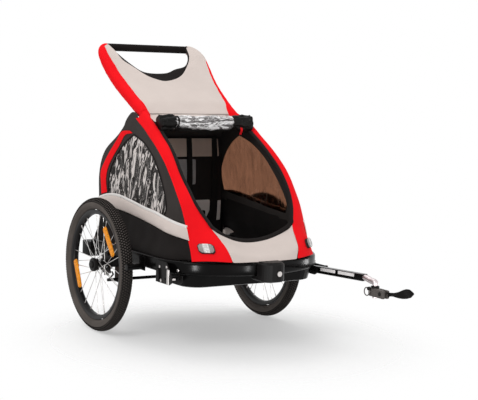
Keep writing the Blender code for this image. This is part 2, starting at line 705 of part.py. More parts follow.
# Wheel guards in front of both wheels
for s, word in ((1, "left"), (-1, "right")):
    guard_y = -TYRE_R - 0.020
    guard_x = WHEEL_X + TYRE_THICK / 2 - 0.001
    plate = box(s * (BAND_HALF + CLEAR), s * (BAND_HALF + 0.0034), guard_y - 0.022, guard_y + 0.022, 0.268,
                0.318, 0.001, 1)
    bar = rod((s * (BAND_HALF + 0.002), guard_y, 0.281), (s * (guard_x - 0.0015), guard_y, 0.281), 0.011, 20)
    rim_ring = rod((s * (guard_x - 0.0065), guard_y, 0.281), (s * guard_x, guard_y, 0.281), 0.0118, 20)
    node(f"wheel_guard_{word}", bar, "chassis", "black_paint", adds=[plate, rim_ring])

# Tow brackets under the rails and their lock pins with lever plates
for s, word in ((1, "left"), (-1, "right")):
    x_in = ARM_X - ARM_SIDE / 2 - 0.002
    x_out = BAND_HALF + CLEAR
    # The left outer plate ends under the rail, beside the fitted arm
    high = s < 0
    pent = [(-0.376, 0.245), (-0.470, 0.245), (-0.486, 0.254)]
    if high:
        pent += [(-0.486, 0.276), (-0.446, 0.321), (-0.376, 0.321)]
    else:
        pent += [(-0.486, 0.268), (-0.476, BAND_LOW - CLEAR), (-0.376, BAND_LOW - CLEAR)]
    outer = loft([[Vector((s * x_out, y, z)) for y, z in pent],
                  [Vector((s * (x_out + 0.004), y, z)) for y, z in pent]])
    low = [(-0.376, 0.245), (-0.470, 0.245), (-0.486, 0.254), (-0.486, BAND_LOW - CLEAR),
           (-0.376, BAND_LOW - CLEAR)]
    inner = loft([[Vector((s * (x_in - 0.003), y, z)) for y, z in low],
                  [Vector((s * x_in, y, z)) for y, z in low]])
    web = box(s * (x_in - 0.001), s * (x_out + 0.001), -0.408, -0.377, 0.2685, BAND_LOW - CLEAR)
    bolt = rod((s * (x_in - 0.006), *ARM_PIVOT), (s * (x_out + 0.006), *ARM_PIVOT), BOLT_R, 10)
    hook = loft([[Vector((s * x, y, z)) for y, z in
                  ((-0.392, 0.251), (-0.404, 0.251), (-0.408, 0.262), (-0.404, 0.290 if high else 0.270),
                   (-0.392, 0.294 if high else 0.274))]
                 for x in (x_out + 0.0035, x_out + 0.0105)])
    node(f"tow_bracket_{word}", outer, "chassis", "black_plastic", adds=[inner, web, bolt, hook],
         cuts=[rod((s * (x_in - 0.01), -0.466, 0.2633), (s * (x_out + 0.01), -0.466, 0.2633),
                   BOLT_R + 2 * CLEAR, 12)])
    # The left pin is drawn back clear of the fitted arm, the right one is pushed in
    drawn = 0.0110 if s > 0 else 0.0
    reach = ARM_X + ARM_SIDE / 2 + 0.0006 - 0.0110
    pin = rod((s * (reach + drawn), -0.466, 0.2633), (s * (x_out + 0.0065 + drawn), -0.466, 0.2633),
              BOLT_R, 16)
    lever = box(s * (x_out + 0.0047 + drawn), s * (x_out + 0.0077 + drawn), -0.4735, -0.4585, 0.2460,
                0.2990 if s < 0 else 0.2760, 0.001, 1)
    node(f"lock_pin_{word}", pin, f"lock_{word}", "silver", adds=[lever])

# Floor board with an opening over the footwell, and the moulded footwell tray below it
FLOOR_LOW = BAND_LOW + 0.0002
plan = [p for p in band_offset(BAND_THICK + 0.0006) if p.y < -0.33]
plan.append(Vector((BAND_HALF - BAND_THICK - 0.0006, -0.20, 0.0)))
plan.append(Vector((BAND_HALF - BAND_THICK - 0.0006, BAND_BACK - 0.004, 0.0)))
outline = plan + mirror(plan[::-1])[:-1]
floor_rings = [[Vector((p.x, p.y, z)) for p in outline] for z in (FLOOR_LOW, FLOOR_LOW + FLOOR_THICK)]


def tray_plan(grow, z):
    """Plan of the footwell at a height, grown outwards by grow."""
    hw = TRAY_HALF + grow
    y0 = TRAY_FRONT - grow
    y1 = TRAY_BACK + grow
    r = 0.085 + grow
    pts = []
    for i in range(7):
        a = math.radians(15 * i)
        pts.append(Vector((hw - r + r * math.sin(a), y0 + r - r * math.cos(a), z)))
    pts.append(Vector((hw, y1, z)))
    return pts + mirror(pts[::-1])


def well_plan(z):
    """Opening in the floor over the footwell, kept a strip's width inside the band."""
    pts = []
    for p in tray_plan(-0.012, z):
        limit = inner_x(p.y) - 0.016
        pts.append(Vector((math.copysign(min(abs(p.x), limit), p.x), p.y, z)))
    return pts


well_cut = loft([well_plan(FLOOR_LOW - 0.01), well_plan(FLOOR_LOW + 0.02)])
node("floor_board", loft(floor_rings), "chassis", "black_plastic", cuts=[well_cut])
tray = loft([tray_plan(-0.024, TRAY_DEEP), tray_plan(-0.012, TRAY_DEEP + 0.004),
             tray_plan(-0.002, FLOOR_LOW - 0.006), tray_plan(0.0, FLOOR_LOW - 2 * CLEAR)])
well = loft([tray_plan(-0.030, TRAY_DEEP + 0.003), tray_plan(-0.015, FLOOR_LOW - 0.004),
             tray_plan(-0.012, FLOOR_LOW + 0.01)])
node("footwell_tray", tray, "chassis", "black_plastic", cuts=[well])

# Front receiver for a buggy wheel: a moulded block that grips the band, with a push button
rec = []
for z, grow in ((0.260, -0.006), (0.266, 0.0), (0.322, 0.0), (0.330, -0.008)):
    ring = []
    for i in range(13):
        a = math.pi * i / 12
        out_x = math.copysign(abs(math.cos(a)) ** 0.7, math.cos(a))
        ring.append(Vector(((REC_HALF + grow) * out_x, REC_Y - (0.050 + grow) * abs(math.sin(a)) ** 0.6, z)))
    ring.append(Vector((-REC_HALF - grow, -0.556, z)))
    ring.append(Vector((REC_HALF + grow, -0.556, z)))
    rec.append(ring)
grip_ring = [[Vector((p.x, p.y, z)) for p in
              [Vector((x, y, 0)) for x, y in ((-0.09, -0.540), (0.09, -0.540))]
              + [Vector((0.09, BAND_FRONT + 0.0098 - CLEAR, 0)), Vector((0.06, BAND_FRONT + 0.0038 - CLEAR, 0)),
                 Vector((0.03, BAND_FRONT + 0.0009 - CLEAR, 0)), Vector((0, BAND_FRONT - CLEAR, 0)),
                 Vector((-0.03, BAND_FRONT + 0.0009 - CLEAR, 0)),
                 Vector((-0.06, BAND_FRONT + 0.0038 - CLEAR, 0)),
                 Vector((-0.09, BAND_FRONT + 0.0098 - CLEAR, 0))]]
             for z in (BAND_LOW - CLEAR, 0.345)]
socket = rod((0, SOCKET_Y, 0.25), (0, SOCKET_Y, 0.319), 0.0125, 24)
button_hole = rod((0.010, REC_Y - 0.060, 0.291), (0.010, SOCKET_Y, 0.291), 0.0095 + CLEAR, 20)
node("wheel_receiver", loft(rec), "chassis", "black_plastic", cuts=[loft(grip_ring), socket, button_hole])
node("receiver_button", rod((0.010, REC_Y - 0.0535, 0.291), (0.010, SOCKET_Y - 0.0165, 0.291), 0.0095, 20),
     "receiver_push", "black_plastic")

# Main frame hoop: pillars, handle sides and grip bar in one bent tube, with a bar at the shoulder
def pillar_row(z):
    """Seam point, edge point, outward normal, crown and tube depth of the red cover at a height."""
    a = at_height(SEAM, z)
    b = at_height(EDGE, z)
    step = 0.012
    hi = min(z + step, 0.803)
    lo = max(z - step, 0.328)
    run = (at_height(SEAM, hi) + at_height(EDGE, hi)) - (at_height(SEAM, lo) + at_height(EDGE, lo))
    normal = (a - b).cross(run).normalized()
    if normal.y > 0:
        normal.negate()
    top = min(1.0, max(0.0, (z - 0.735) / 0.065))
    low = min(1.0, max(0.0, (0.46 - z) / 0.12))
    crown = 0.0095 + 0.0170 * top + 0.010 * low
    deep = 0.0075 - 0.0135 * top + 0.004 * low
    return a, b, normal, crown, deep


def pillar_tube():
    pts = [Vector((FOOT_X, PIVOT_MAIN.y, PIVOT_MAIN.z - 0.004))]
    pts.append(Vector((FOOT_X, PIVOT_MAIN.y, PIVOT_MAIN.z + 0.022)))
    for z in (0.370, 0.40, 0.44, 0.48, 0.52, 0.56, 0.60, 0.64, 0.68, 0.715, 0.745):
        a, b, normal, crown, deep = pillar_row(z)
        wide = (a - b).length
        t = min(0.5, 0.0165 / wide)
        pts.append(a.lerp(b, t) - normal * (deep + 0.001))
    return pts


pillar_pts = pillar_tube()
shoulder = spread([(0.2085, -0.080, 0.7740), (0.2045, -0.045, 0.7885)])
bend_end = [Vector((FOAM_HALF + 0.003, *GRIP)), Vector((0.10, *GRIP))]
left = smooth_path(pillar_pts + shoulder + HANDLE + bend_end, 90)
left = left[:72:4] + left[72:86:2] + left[-1:]
hoop_path = left + [Vector((0.0, *GRIP))] + mirror(left[::-1])
hoop_adds = []
for s in (1, -1):
    hoop_adds.append(rod((s * (FOOT_X - 0.008), PIVOT_MAIN.y, PIVOT_MAIN.z),
                         (s * (FOOT_X + 0.013 - CLEAR), PIVOT_MAIN.y, PIVOT_MAIN.z), 0.0125, 20))
    hoop_adds.append(rod((s * FOOT_X, PIVOT_MAIN.y, PIVOT_MAIN.z),
                         (s * (FOOT_X + 0.0185), PIVOT_MAIN.y, PIVOT_MAIN.z), 0.005, 16))
bar_half = WALL_X - 0.078
hoop_adds.append(rod((-bar_half, -0.050, 0.7820), (bar_half, -0.050, 0.7820), 0.006, 10))
node("main_hoop", tube(hoop_path, HOOP_R, 10), "main_frame", "black_paint", adds=hoop_adds)
grip_pts = [Vector((x, *GRIP)) for x in (-FOAM_HALF, -0.06, 0.06, FOAM_HALF)]
node("handle_grip", pipe(grip_pts, FOAM_R, HOOP_R + 2 * CLEAR, 16), "main_frame", "foam")
for s, word in ((1, "left"), (-1, "right")):
    keep = [i for i, p in enumerate(left) if p.y > -0.022 and p.x > FOAM_HALF + 0.004]
    bore_r = (HOOP_R + 0.75 * CLEAR) / math.cos(math.pi / 10)
    skin = [rings_on(left, circle(SLEEVE_R, 10))[i] for i in keep]
    bore = [rings_on(left, circle(bore_r, 10))[i] for i in keep]
    rings = [ring if s > 0 else mirror(ring) for ring in skin + bore[::-1]]
    node(f"handle_sleeve_{word}", loft(rings, loop=True), "main_frame", "red_cloth")

# Grey handle panel, stretched between the sleeves with a rounded cut-out below the grip
H_PROFILE = smooth_path([(0.0, p[1], p[2]) for p in HANDLE[:7]], 60)
H_RUN = [0.0]
for a, b in zip(H_PROFILE, H_PROFILE[1:]):
    H_RUN.append(H_RUN[-1] + (b - a).length)
HANDLE_WIDE = smooth_path(HANDLE[:7], 60)


def on_handle(x, t):
    """A point on the handle panel, t metres above the shoulder seam."""
    t = max(0.0, min(t, H_RUN[-1]))
    for i in range(len(H_RUN) - 1):
        if H_RUN[i + 1] >= t:
            f = (t - H_RUN[i]) / (H_RUN[i + 1] - H_RUN[i])
            p = H_PROFILE[i].lerp(H_PROFILE[i + 1], f)
            half_wide = HANDLE_WIDE[i].lerp(HANDLE_WIDE[i + 1], f).x - SLEEVE_R - 0.0006
            break
    x = max(-half_wide, min(half_wide, x))
    return Vector((x, p.y, p.z + 0.0008)), half_wide


cut = [(-0.178, 0.400), (-0.172, 0.385), (-0.158, 0.355), (-0.137, 0.312), (-0.105, 0.265),
       (-0.073, 0.236), (-0.036, 0.220), (0.0, 0.216), (0.036, 0.220), (0.073, 0.236), (0.105, 0.265),
       (0.137, 0.312), (0.158, 0.355), (0.172, 0.385), (0.178, 0.400)]
cut = smooth_path([(x, t, 0) for x, t in cut], 25)
rim_pts = []
for i in range(9):
    rim_pts.append((-9.0, 0.400 * (1 - i / 8)))
base_half = on_handle(9.0, 0.010)[1]
for i in range(1, 8):
    rim_pts.append((-base_half + 2 * base_half * i / 8, 0.0))
for i in range(9):
    rim_pts.append((9.0, 0.400 * i / 8))
rows = []
for k in range(5):
    row = []
    for (cx, ct, _), (rx, rt) in zip(cut, rim_pts):
        rt = max(rt, 0.010)
        wide = on_handle(9.0, rt)[1]
        rx = max(-wide, min(wide, rx))
        f = (k / 4) ** 1.15
        p, _ = on_handle(cx + (rx - cx) * f, ct + (rt - ct) * f)
        row.append(p)
    rows.append(row)
sheet("handle_panel", quilt(rows), "main_frame", "grey_cloth", 0.0022, (0, 0.3, 0.6), 0.0)

# Rear hoop
rear_half = [(0.272, PIVOT_REAR.y, PIVOT_REAR.z), (0.2700, PIVOT_REAR.y - 0.004, PIVOT_REAR.z + 0.035),
             (0.262, 0.165, 0.370), (0.253, 0.182, 0.450), (0.241, 0.210, 0.550), (0.234, 0.214, 0.598),
             (0.218, 0.205, 0.634), (0.184, 0.198, 0.645), (0.12, 0.196, 0.646)]
rear_path = [p + Vector((SPREAD, 0, 0)) for p in smooth_path(rear_half, 12)]
rear_path = rear_path + [Vector((0, 0.196, 0.646))] + mirror(rear_path[::-1])
rear_adds = []
for s in (1, -1):
    rear_adds.append(rod((s * (REAR_IN - 0.023), PIVOT_REAR.y, PIVOT_REAR.z),
                         (s * (REAR_IN - CLEAR), PIVOT_REAR.y,
                         PIVOT_REAR.z), 0.0115, 20))
    rear_adds.append(rod((s * (REAR_IN - 0.019), PIVOT_REAR.y, PIVOT_REAR.z),
                         (s * (REAR_IN + 0.0075), PIVOT_REAR.y,
                         PIVOT_REAR.z), 0.005, 16))
node("rear_hoop", tube(rear_path, REAR_HOOP_R, 8), "rear_frame", "black_paint", adds=rear_adds)

# Cabin cover: red pillars
PILLAR_Z = [0.3268, 0.345, 0.368, 0.395, 0.424, 0.455, 0.488, 0.521, 0.555, 0.590, 0.625, 0.660, 0.693,
            0.722, 0.748, 0.770, 0.788, 0.7985]


def pillar_point(z, f):
    a, b, normal, crown, _ = pillar_row(z)
    return a.lerp(b, f) + normal * (crown * math.sin(math.pi * f) ** 0.8)


for s, word in ((1, "left"), (-1, "right")):
    rows = []
    for z in PILLAR_Z:
        row = [pillar_point(z, f) for f in (0.022, 0.17, 0.36, 0.55, 0.75, 0.99)]
        rows.append(row if s > 0 else mirror(row))
    sheet(f"pillar_cover_{word}", quilt(rows), "main_frame", "red_cloth", CLOTH, (0.0, 0.0, 0.4))

# Side walls with a window opening, the windows, the padded stripes and the red rear strips
def flat(points):
    return [(y, z, 0.0) for y, z in points]


def wall_loops():
    back = smooth_path(flat(BACK_OUTLINE), 15)
    hem = even(flat(HEM_OUTLINE), 11)
    front = even([(p.y + 0.0030, p.z, 0.0) for p in SEAM if p.z > 0.3295], 17)
    outer = back[:-1] + hem[:-1] + front[:-1]
    wb = smooth_path(flat(WINDOW_BACK), 15)
    wl = even(flat(WINDOW_LOW), 11)
    wf = smooth_path(flat(WINDOW_FRONT), 17)
    inner = wb[:-1] + wl[:-1] + wf[:-1]
    return outer, inner


outer, inner = wall_loops()
centre = sum((Vector(p) for p in inner), Vector()) / len(inner)
for s, word in ((1, "left"), (-1, "right")):
    rows = []
    for f in (0.0, 0.30, 0.62, 1.0):
        rows.append([Vector((s * wall_x(p[0], p[1]), p[0], p[1])) for p in
                     [Vector(o).lerp(Vector(i), f) for o, i in zip(outer, inner)]])
    sheet(f"side_wall_{word}", quilt(rows, wrap=True), "chassis", "charcoal_cloth")
    rings = []
    for f in (1.0, 0.50):
        ring = []
        for p in inner:
            away = Vector(p) - centre
            q = centre + away * f - (away.normalized() * 0.0009 if f == 1.0 else Vector())
            ring.append(Vector((s * (wall_x(q[0], q[1]) - 0.0002), q[0], q[1])))
        rings.append(ring)
    film = quilt(rings, wrap=True)
    film.verts.ensure_lookup_table()
    n = len(inner)
    film.faces.new([film.verts[n + i] for i in range(n)])
    sheet(f"side_window_{word}", film, "chassis", "tinted_film", 0.0012)
    rings = []
    for (ty, tz), (by, bz) in STRIPE:
        ring = []
        for f, rise in ((0.0, 0.0), (0.5, 0.0), (1.0, 0.0), (1.0, 0.0010), (0.82, 0.0056),
                        (0.55, STRIPE_RISE), (0.25, STRIPE_RISE), (0.06, 0.0052), (0.0, 0.0020)):
            y = ty + (by - ty) * f
            z = tz + (bz - tz) * f
            seat = 0.0007 + 0.0016 * min(1.0, max(0.0, (-0.27 - y) / 0.06))
            ring.append(Vector((s * (wall_x(y, z) + seat + rise), y, z)))
        rings.append(ring)
    node(f"side_stripe_{word}", loft(rings), "chassis", "grey_cloth")
    rings = []
    for (oy, oz), (iy, iz) in REAR_STRIP:
        ring = []
        for f, rise in ((0.0, 0.0006), (1.0, 0.0006), (1.0, 0.0014), (0.75, 0.0024), (0.25, 0.0024),
                        (0.0, 0.0014)):
            y = oy + (iy - oy) * f
            z = oz + (iz - oz) * f
            ring.append(Vector((s * (wall_x(y, z) + rise), y, z)))
        rings.append(ring)
    node(f"rear_strip_{word}", loft(rings), "chassis", "red_cloth")

# Front panel below the opening
top_row = []
low_row = []
cols = 13
for i in range(cols):
    u = -1 + 2 * i / (cols - 1)
    ex = at_height(EDGE, 0.440)
    top_row.append(Vector((u * (ex.x - 0.0008), -0.4645 + (ex.y + 0.4645) * abs(u) ** 2.2,
                           0.384 + 0.056 * abs(u) ** 2.2)))
    x = u * (at_height(EDGE, 0.327).x - 0.0008)
    y = BAND_FRONT + 0.004 + 0.0145 * (x / 0.143) ** 2
    low_row.append(Vector((x, y, 0.3268)))
levels = (0.3268, 0.348, 0.372, 0.397, 0.420, 0.440)
rows = []
for k, z in enumerate(levels):
    v = k / (len(levels) - 1)
    e = at_height(EDGE, z)
    edge_l = Vector((-(e.x - 0.0008), e.y, z))
    edge_r = Vector((e.x - 0.0008, e.y, z))
    row = []
    for i in range(cols):
        u = i / (cols - 1)
        p = low_row[i].lerp(top_row[i], v) + edge_l.lerp(edge_r, u)
        p -= (low_row[0].lerp(low_row[-1], u)).lerp(top_row[0].lerp(top_row[-1], u), v)
        row.append(p)
    rows.append(row)
sheet("front_panel", quilt(rows), "chassis", "grey_cloth", CLOTH, (0.0, 0.0, 0.4))

# Roof and back, one cloth from the top of the opening over the shoulder and down the back
ROOF = [(-0.118, 0.7655, 0.190), (-0.085, 0.7820, 0.1840), (-0.055, 0.7910, 0.1770),
        (-0.014, 0.7935, 0.1700), (0.006, 0.7930, 0.1900), (0.030, 0.7905, None), (0.055, 0.7850, None)]
for y, z in BACK_OUTLINE[3:]:
    ROOF.append((y - 0.0010, z - 0.0010, None))
rows = []
for y, z, half_wide in ROOF:
    limit = (wall_x(y, z) - CLOTH - 0.0012) if half_wide is None else half_wide + SPREAD
    if z < 0.42:
        limit -= 0.012 * min(1.0, (0.42 - z) / 0.035)
    rows.append([Vector((limit * (-1 + 2 * i / 8), y - (0.004 if abs(i - 4) < 3 and z < 0.7 else 0.0), z))
                 for i in range(9)])
sheet("roof_and_back", quilt(rows), "chassis", "charcoal_cloth", CLOTH, (0.0, 0.0, 0.4))

# Rolled-up rain cover under the handle seam, with its elastic loops
roll_y = -0.128
roll_z = 0.7930
roll = []
for i in range(19):
    x = -ROLL_HALF + 2 * ROLL_HALF * i / 18
    squeeze = 1.0
    for loop_x in (-0.128, 0.118):
        squeeze -= 0.16 * math.exp(-((x - loop_x) / 0.012) ** 2)
    if i in (0, 18):
        squeeze = 0.86
    wobble = 0.03 * math.sin(i * 2.3)
    roll.append([Vector((x, roll_y + ROLL_R * squeeze * (1 + wobble) * math.cos(a),
                         roll_z + ROLL_R * squeeze * (1 + wobble) * math.sin(a)))
                 for a in [2 * math.pi * k / 12 for k in range(12)]])
node("rain_cover_roll", loft(roll), "main_frame", "clear_film", angle=60)

# Corner reflectors on the red cover above the bumper
for s, word in ((1, "left"), (-1, "right")):
    z0 = 0.367
    p0 = pillar_point(z0, 0.42)
    du = (pillar_point(z0, 0.52) - pillar_point(z0, 0.32)).normalized()
    dz = (pillar_point(z0 + 0.012, 0.42) - pillar_point(z0 - 0.012, 0.42)).normalized()
    out = du.cross(dz)
    if out.y > 0:
        out.negate()
    lift = max((pillar_point(z, f) - p0).dot(out) for z in (0.348, 0.355, 0.367, 0.38, 0.388)
               for f in (0.12, 0.2, 0.3, 0.42, 0.55, 0.65, 0.72)
               if abs((pillar_point(z, f) - p0).dot(du)) < 0.036)
    back = p0 + out * (lift + 0.0007)
    rings = []
    for rise, inset in ((0.0, 0.0), (0.006, 0.0), (0.009, 0.004)):
        ring = []
        for u, v in ((-0.026, -0.0175), (0.026, -0.0175), (0.030, -0.010), (0.030, 0.010),
                     (0.026, 0.0175), (-0.026, 0.0175), (-0.030, 0.010), (-0.030, -0.010)):
            k = 1 - inset / 0.02
            ring.append(back + du * (u * k) + dz * (v * k) + out * rise)
        rings.append(ring if s > 0 else mirror(ring))
    node(f"corner_reflector_{word}", loft(rings), "main_frame", "white_reflector")

# Seat bench, seat back and the two harnesses
seat_rows = []
BENCH_HALF = WALL_X - 0.047
seat_low = FLOOR_LOW + FLOOR_THICK + CLEAR
for y, lo, hi in ((-0.150, 0.296, 0.318), (-0.140, seat_low, 0.330), (-0.08, seat_low, 0.334),
                  (0.0, seat_low, 0.328), (0.075, seat_low, 0.326), (0.0930, 0.296, 0.314)):
    ring = []
    for i in range(13):
        x = BENCH_HALF * (-1 + i / 6)
        dish = 0.007 * math.cos(2 * math.pi * x / BENCH_HALF) if abs(x) < BENCH_HALF - 0.010 else -0.009
        ring.append(Vector((x, y, hi - dish)))
    for i in range(12, -1, -1):
        ring.append(Vector((BENCH_HALF * (-1 + i / 6), y, lo)))
    seat_rows.append(ring)
node("seat_bench", loft(seat_rows), "chassis", "black_cloth")


def back_y(z):
    """Front face of the seat back at a height."""
    return 0.098 + 0.008 * (z - 0.34) / 0.40 - 0.012 * math.sin(math.pi * max(0.0, z - 0.34) / 0.40)


back_rows = []
for k in range(11):
    z = seat_low + (0.7175 - seat_low) * k / 10
    wide = WALL_X - 0.056 - 0.06 * (z - 0.34)
    slim = 0.006 if k in (0, 10) else 0.011
    ring = []
    for i in range(9):
        x = wide * (-1 + i / 4)
        puff = 0.004 * abs(math.sin(math.pi * x / 0.115)) if k not in (0, 10) else 0.0
        ring.append(Vector((x, back_y(z) - puff, z)))
    for i in range(8, -1, -1):
        ring.append(Vector((wide * (-1 + i / 4), back_y(z) + slim, z)))
    back_rows.append(ring)
node("seat_back", loft(back_rows), "chassis", "black_cloth")
for s, word in ((1, "left"), (-1, "right")):
    straps = []
    for x in (0.075, 0.155):
        rings = []
        for k in range(9):
            z = 0.712 - 0.038 * k
            xx = s * (x + (0.115 - x) * max(0.0, (k - 4) / 4) * 0.35)
            y = back_y(z) - 0.0044
            rings.append([Vector((xx - 0.012, y, z)), Vector((xx + 0.012, y, z)),
                          Vector((xx + 0.012, y - 0.0018, z)), Vector((xx - 0.012, y - 0.0018, z))])
        straps.append(loft(rings))
    buckle = box(s * 0.115 - 0.028, s * 0.115 + 0.028, back_y(0.40) - 0.022, back_y(0.40) - 0.0050,
                 0.385, 0.430, 0.004)
    crotch = box(s * 0.115 - 0.012, s * 0.115 + 0.012, back_y(0.36) - 0.012, back_y(0.36) - 0.0050,
                 0.3415, 0.392)
    node(f"harness_{word}", buckle, "chassis", "black_cloth", adds=[joined(straps), crotch])

# Tow arm: square tube, bent neck with a spindle, rubber collar, hitch block, strap and pin
arm_dir = Vector((0.0, ARM_END[0] - ARM_PIVOT[0], ARM_END[1] - ARM_PIVOT[1])).normalized()
arm_len = math.hypot(ARM_END[0] - ARM_PIVOT[0], ARM_END[1] - ARM_PIVOT[1])
arm_up = Vector((0.0, arm_dir.z, -arm_dir.y))
if arm_up.z < 0:
    arm_up.negate()
origin = Vector((ARM_X, *ARM_PIVOT))
hs = ARM_SIDE / 2
arm_side = []
for i in range(9):
    a = math.radians(90 + 22.5 * i)
    arm_side.append((math.cos(a) * hs, math.sin(a) * hs))
arm_side = arm_side + [(arm_len, -hs), (arm_len, hs)]
arm_rings = []
for x, inset in ((-hs, 0.002), (-hs + 0.002, 0.0), (hs - 0.002, 0.0), (hs, 0.002)):
    ring = []
    for u, v in arm_side:
        if abs(u - arm_len) < 1e-6:
            uu = u
            vv = v - math.copysign(inset, v)
        else:
            k = (hs - inset) / hs
            uu = u * k
            vv = v * k
        ring.append(origin + Vector((x, 0, 0)) + arm_dir * uu + arm_up * vv)
    arm_rings.append(ring)
end_p = origin + arm_dir * arm_len
lock_p = Vector((ARM_X, -0.466, 0.2633))
arm_cuts = [rod((ARM_X - 0.03, *ARM_PIVOT), (ARM_X + 0.03, *ARM_PIVOT), BOLT_R + CLEAR, 16),
            rod((ARM_X - 0.03, lock_p.y, lock_p.z), (ARM_X + 0.03, lock_p.y, lock_p.z), BOLT_R + CLEAR, 16),
            rod(end_p - arm_dir * 0.0385, end_p + arm_dir * 0.01, NECK_R + 2 * CLEAR, 20)]
node("tow_arm_tube", loft(arm_rings), "tow_arm", "black_paint", cuts=arm_cuts)
neck = smooth_path([end_p - arm_dir * 0.038, end_p - arm_dir * 0.024, end_p - arm_dir * 0.010,
                    end_p + arm_dir * 0.004, end_p + Vector((0, -0.020, -0.004)), end_p + Vector((0, -0.040, -0.012)),
                    Vector((ARM_X, YAW_Y + 0.006, 0.2705)), Vector((ARM_X, YAW_Y, 0.2700))], 16)
spindle = rod((ARM_X, YAW_Y, 0.268), (ARM_X, YAW_Y, 0.2175), SPINDLE_R, 16)
spindle_head = rod((ARM_X, YAW_Y, 0.2135), (ARM_X, YAW_Y, 0.2190), 0.0085, 16)
node("tow_neck", tube(neck, NECK_R, 12), "tow_arm", "silver", adds=[spindle, spindle_head])
block = box(ARM_X - 0.016, ARM_X + 0.016, -0.870, -0.788, 0.2205, 0.2500, 0.004)
slot = box(ARM_X - 0.0055, ARM_X + 0.0055, -0.880, -0.836, 0.21, 0.26)
pin_hole = rod((ARM_X - 0.03, -0.853, 0.236), (ARM_X + 0.03, -0.853, 0.236), 0.0045, 16)
node("hitch_block", block, "hitch", "black_plastic",
     cuts=[slot, rod((ARM_X, YAW_Y, 0.20), (ARM_X, YAW_Y, 0.27), SPINDLE_R + CLEAR, 20), pin_hole])
collar = []
for i in range(16):
    a = 2 * math.pi * i / 16
    ring = []
    for k in range(6):
        b = 2 * math.pi * k / 6
        r = 0.0125 + 0.0034 * math.cos(b)
        ring.append(Vector((ARM_X + r * math.cos(a), YAW_Y + r * math.sin(a), 0.2540 + 0.0034 * math.sin(b))))
    collar.append(ring)
node("rubber_collar", loft(collar, loop=True), "hitch", "tyre_rubber")
strap_mid = [((-0.8708, 0.2325), 0.018), ((-0.884, 0.2345), 0.014), ((-0.900, 0.2370), 0.008),
             ((-0.920, 0.2430), 0.015), ((-0.940, 0.2480), 0.022), ((-0.960, 0.2510), 0.030),
             ((-0.980, 0.2530), 0.036), ((-0.998, 0.2520), 0.036), ((-1.012, 0.2500), 0.026)]
rings = []
for i, ((y, z), wide) in enumerate(strap_mid):
    lean = math.radians(0 + 14 * math.sin(i * 0.8))
    across = Vector((math.sin(lean), 0.0, math.cos(lean)))
    thick = Vector((math.cos(lean), 0.0, -math.sin(lean))) * (0.0025 if i else 0.004)
    c = Vector((ARM_X + 0.009, y, z))
    rings.append([c + across * (wide / 2) - thick, c + across * (wide / 2) + thick,
                  c - across * (wide / 2) + thick, c - across * (wide / 2) - thick])
node("safety_strap", loft(rings), "hitch", "black_cloth")
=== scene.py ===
"""Child bike trailer: the dressed model, its camera and its light."""
import json
from math import atan2, cos, exp, hypot, pi, radians, sin

import bmesh
import bpy
from mathutils import Matrix, Vector, noise

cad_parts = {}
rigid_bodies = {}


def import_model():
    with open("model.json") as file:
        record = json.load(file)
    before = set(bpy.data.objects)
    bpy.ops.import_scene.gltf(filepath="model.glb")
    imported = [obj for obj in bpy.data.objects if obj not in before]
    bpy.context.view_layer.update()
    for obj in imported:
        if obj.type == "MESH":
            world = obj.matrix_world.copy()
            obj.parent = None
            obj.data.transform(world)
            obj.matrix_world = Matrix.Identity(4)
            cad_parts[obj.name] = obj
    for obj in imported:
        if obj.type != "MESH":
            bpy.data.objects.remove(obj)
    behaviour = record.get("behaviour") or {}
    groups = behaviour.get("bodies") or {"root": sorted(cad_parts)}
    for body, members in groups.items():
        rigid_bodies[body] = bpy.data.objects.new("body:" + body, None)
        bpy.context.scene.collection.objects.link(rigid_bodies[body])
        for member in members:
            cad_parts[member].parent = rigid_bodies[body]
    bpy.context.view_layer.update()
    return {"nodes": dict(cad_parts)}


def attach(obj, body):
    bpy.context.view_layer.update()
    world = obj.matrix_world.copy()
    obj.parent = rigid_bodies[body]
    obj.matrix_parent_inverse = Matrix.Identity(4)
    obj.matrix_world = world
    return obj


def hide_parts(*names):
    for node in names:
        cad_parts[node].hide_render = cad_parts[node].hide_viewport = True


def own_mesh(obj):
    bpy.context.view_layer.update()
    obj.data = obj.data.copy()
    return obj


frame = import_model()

SCENE = bpy.context.scene
SCENE.view_settings.view_transform = "Standard"

# Every measure below has y = 0 on the wheel axle; the frame's own y is this much more
AXLE_Y = 0.3302
WHEEL_X = 0.372
TYRE_R = 0.25

# Camera, at the photograph's height, distance and slight roll
lens = bpy.data.cameras.new("camera")
lens.lens = 96.96
lens.sensor_width = 36.0
lens.clip_start = 0.05
camera = bpy.data.objects.new("camera", lens)
turn = Matrix(((0.84207606, 0.02897989, -0.53857969), (-0.5382945, 0.1078555, -0.83582667),
               (0.03386662, 0.99374411, 0.10642225))).to_4x4()
camera.matrix_world = Matrix.Translation((-2.5176, -3.9585, 1.0202)) @ turn
SCENE.collection.objects.link(camera)
SCENE.camera = camera


def linear(code):
    """An sRGB hex colour as linear red, green, blue and alpha."""
    parts = [int(code[i:i + 2], 16) / 255 for i in (0, 2, 4)]
    return [c / 12.92 if c <= 0.04045 else ((c + 0.055) / 1.055) ** 2.4 for c in parts] + [1.0]


def shade(code, k):
    """A hex colour made lighter or darker in linear light."""
    return [min(1.0, c * k) for c in linear(code)[:3]] + [1.0]


def link(tree, node, links):
    """Links into a node by input, each from a socket or from a node's first output."""
    for key, source in dict(links).items():
        socket = source if isinstance(source, bpy.types.NodeSocket) else source.outputs[0]
        tree.links.new(socket, node.inputs[key])
    return node


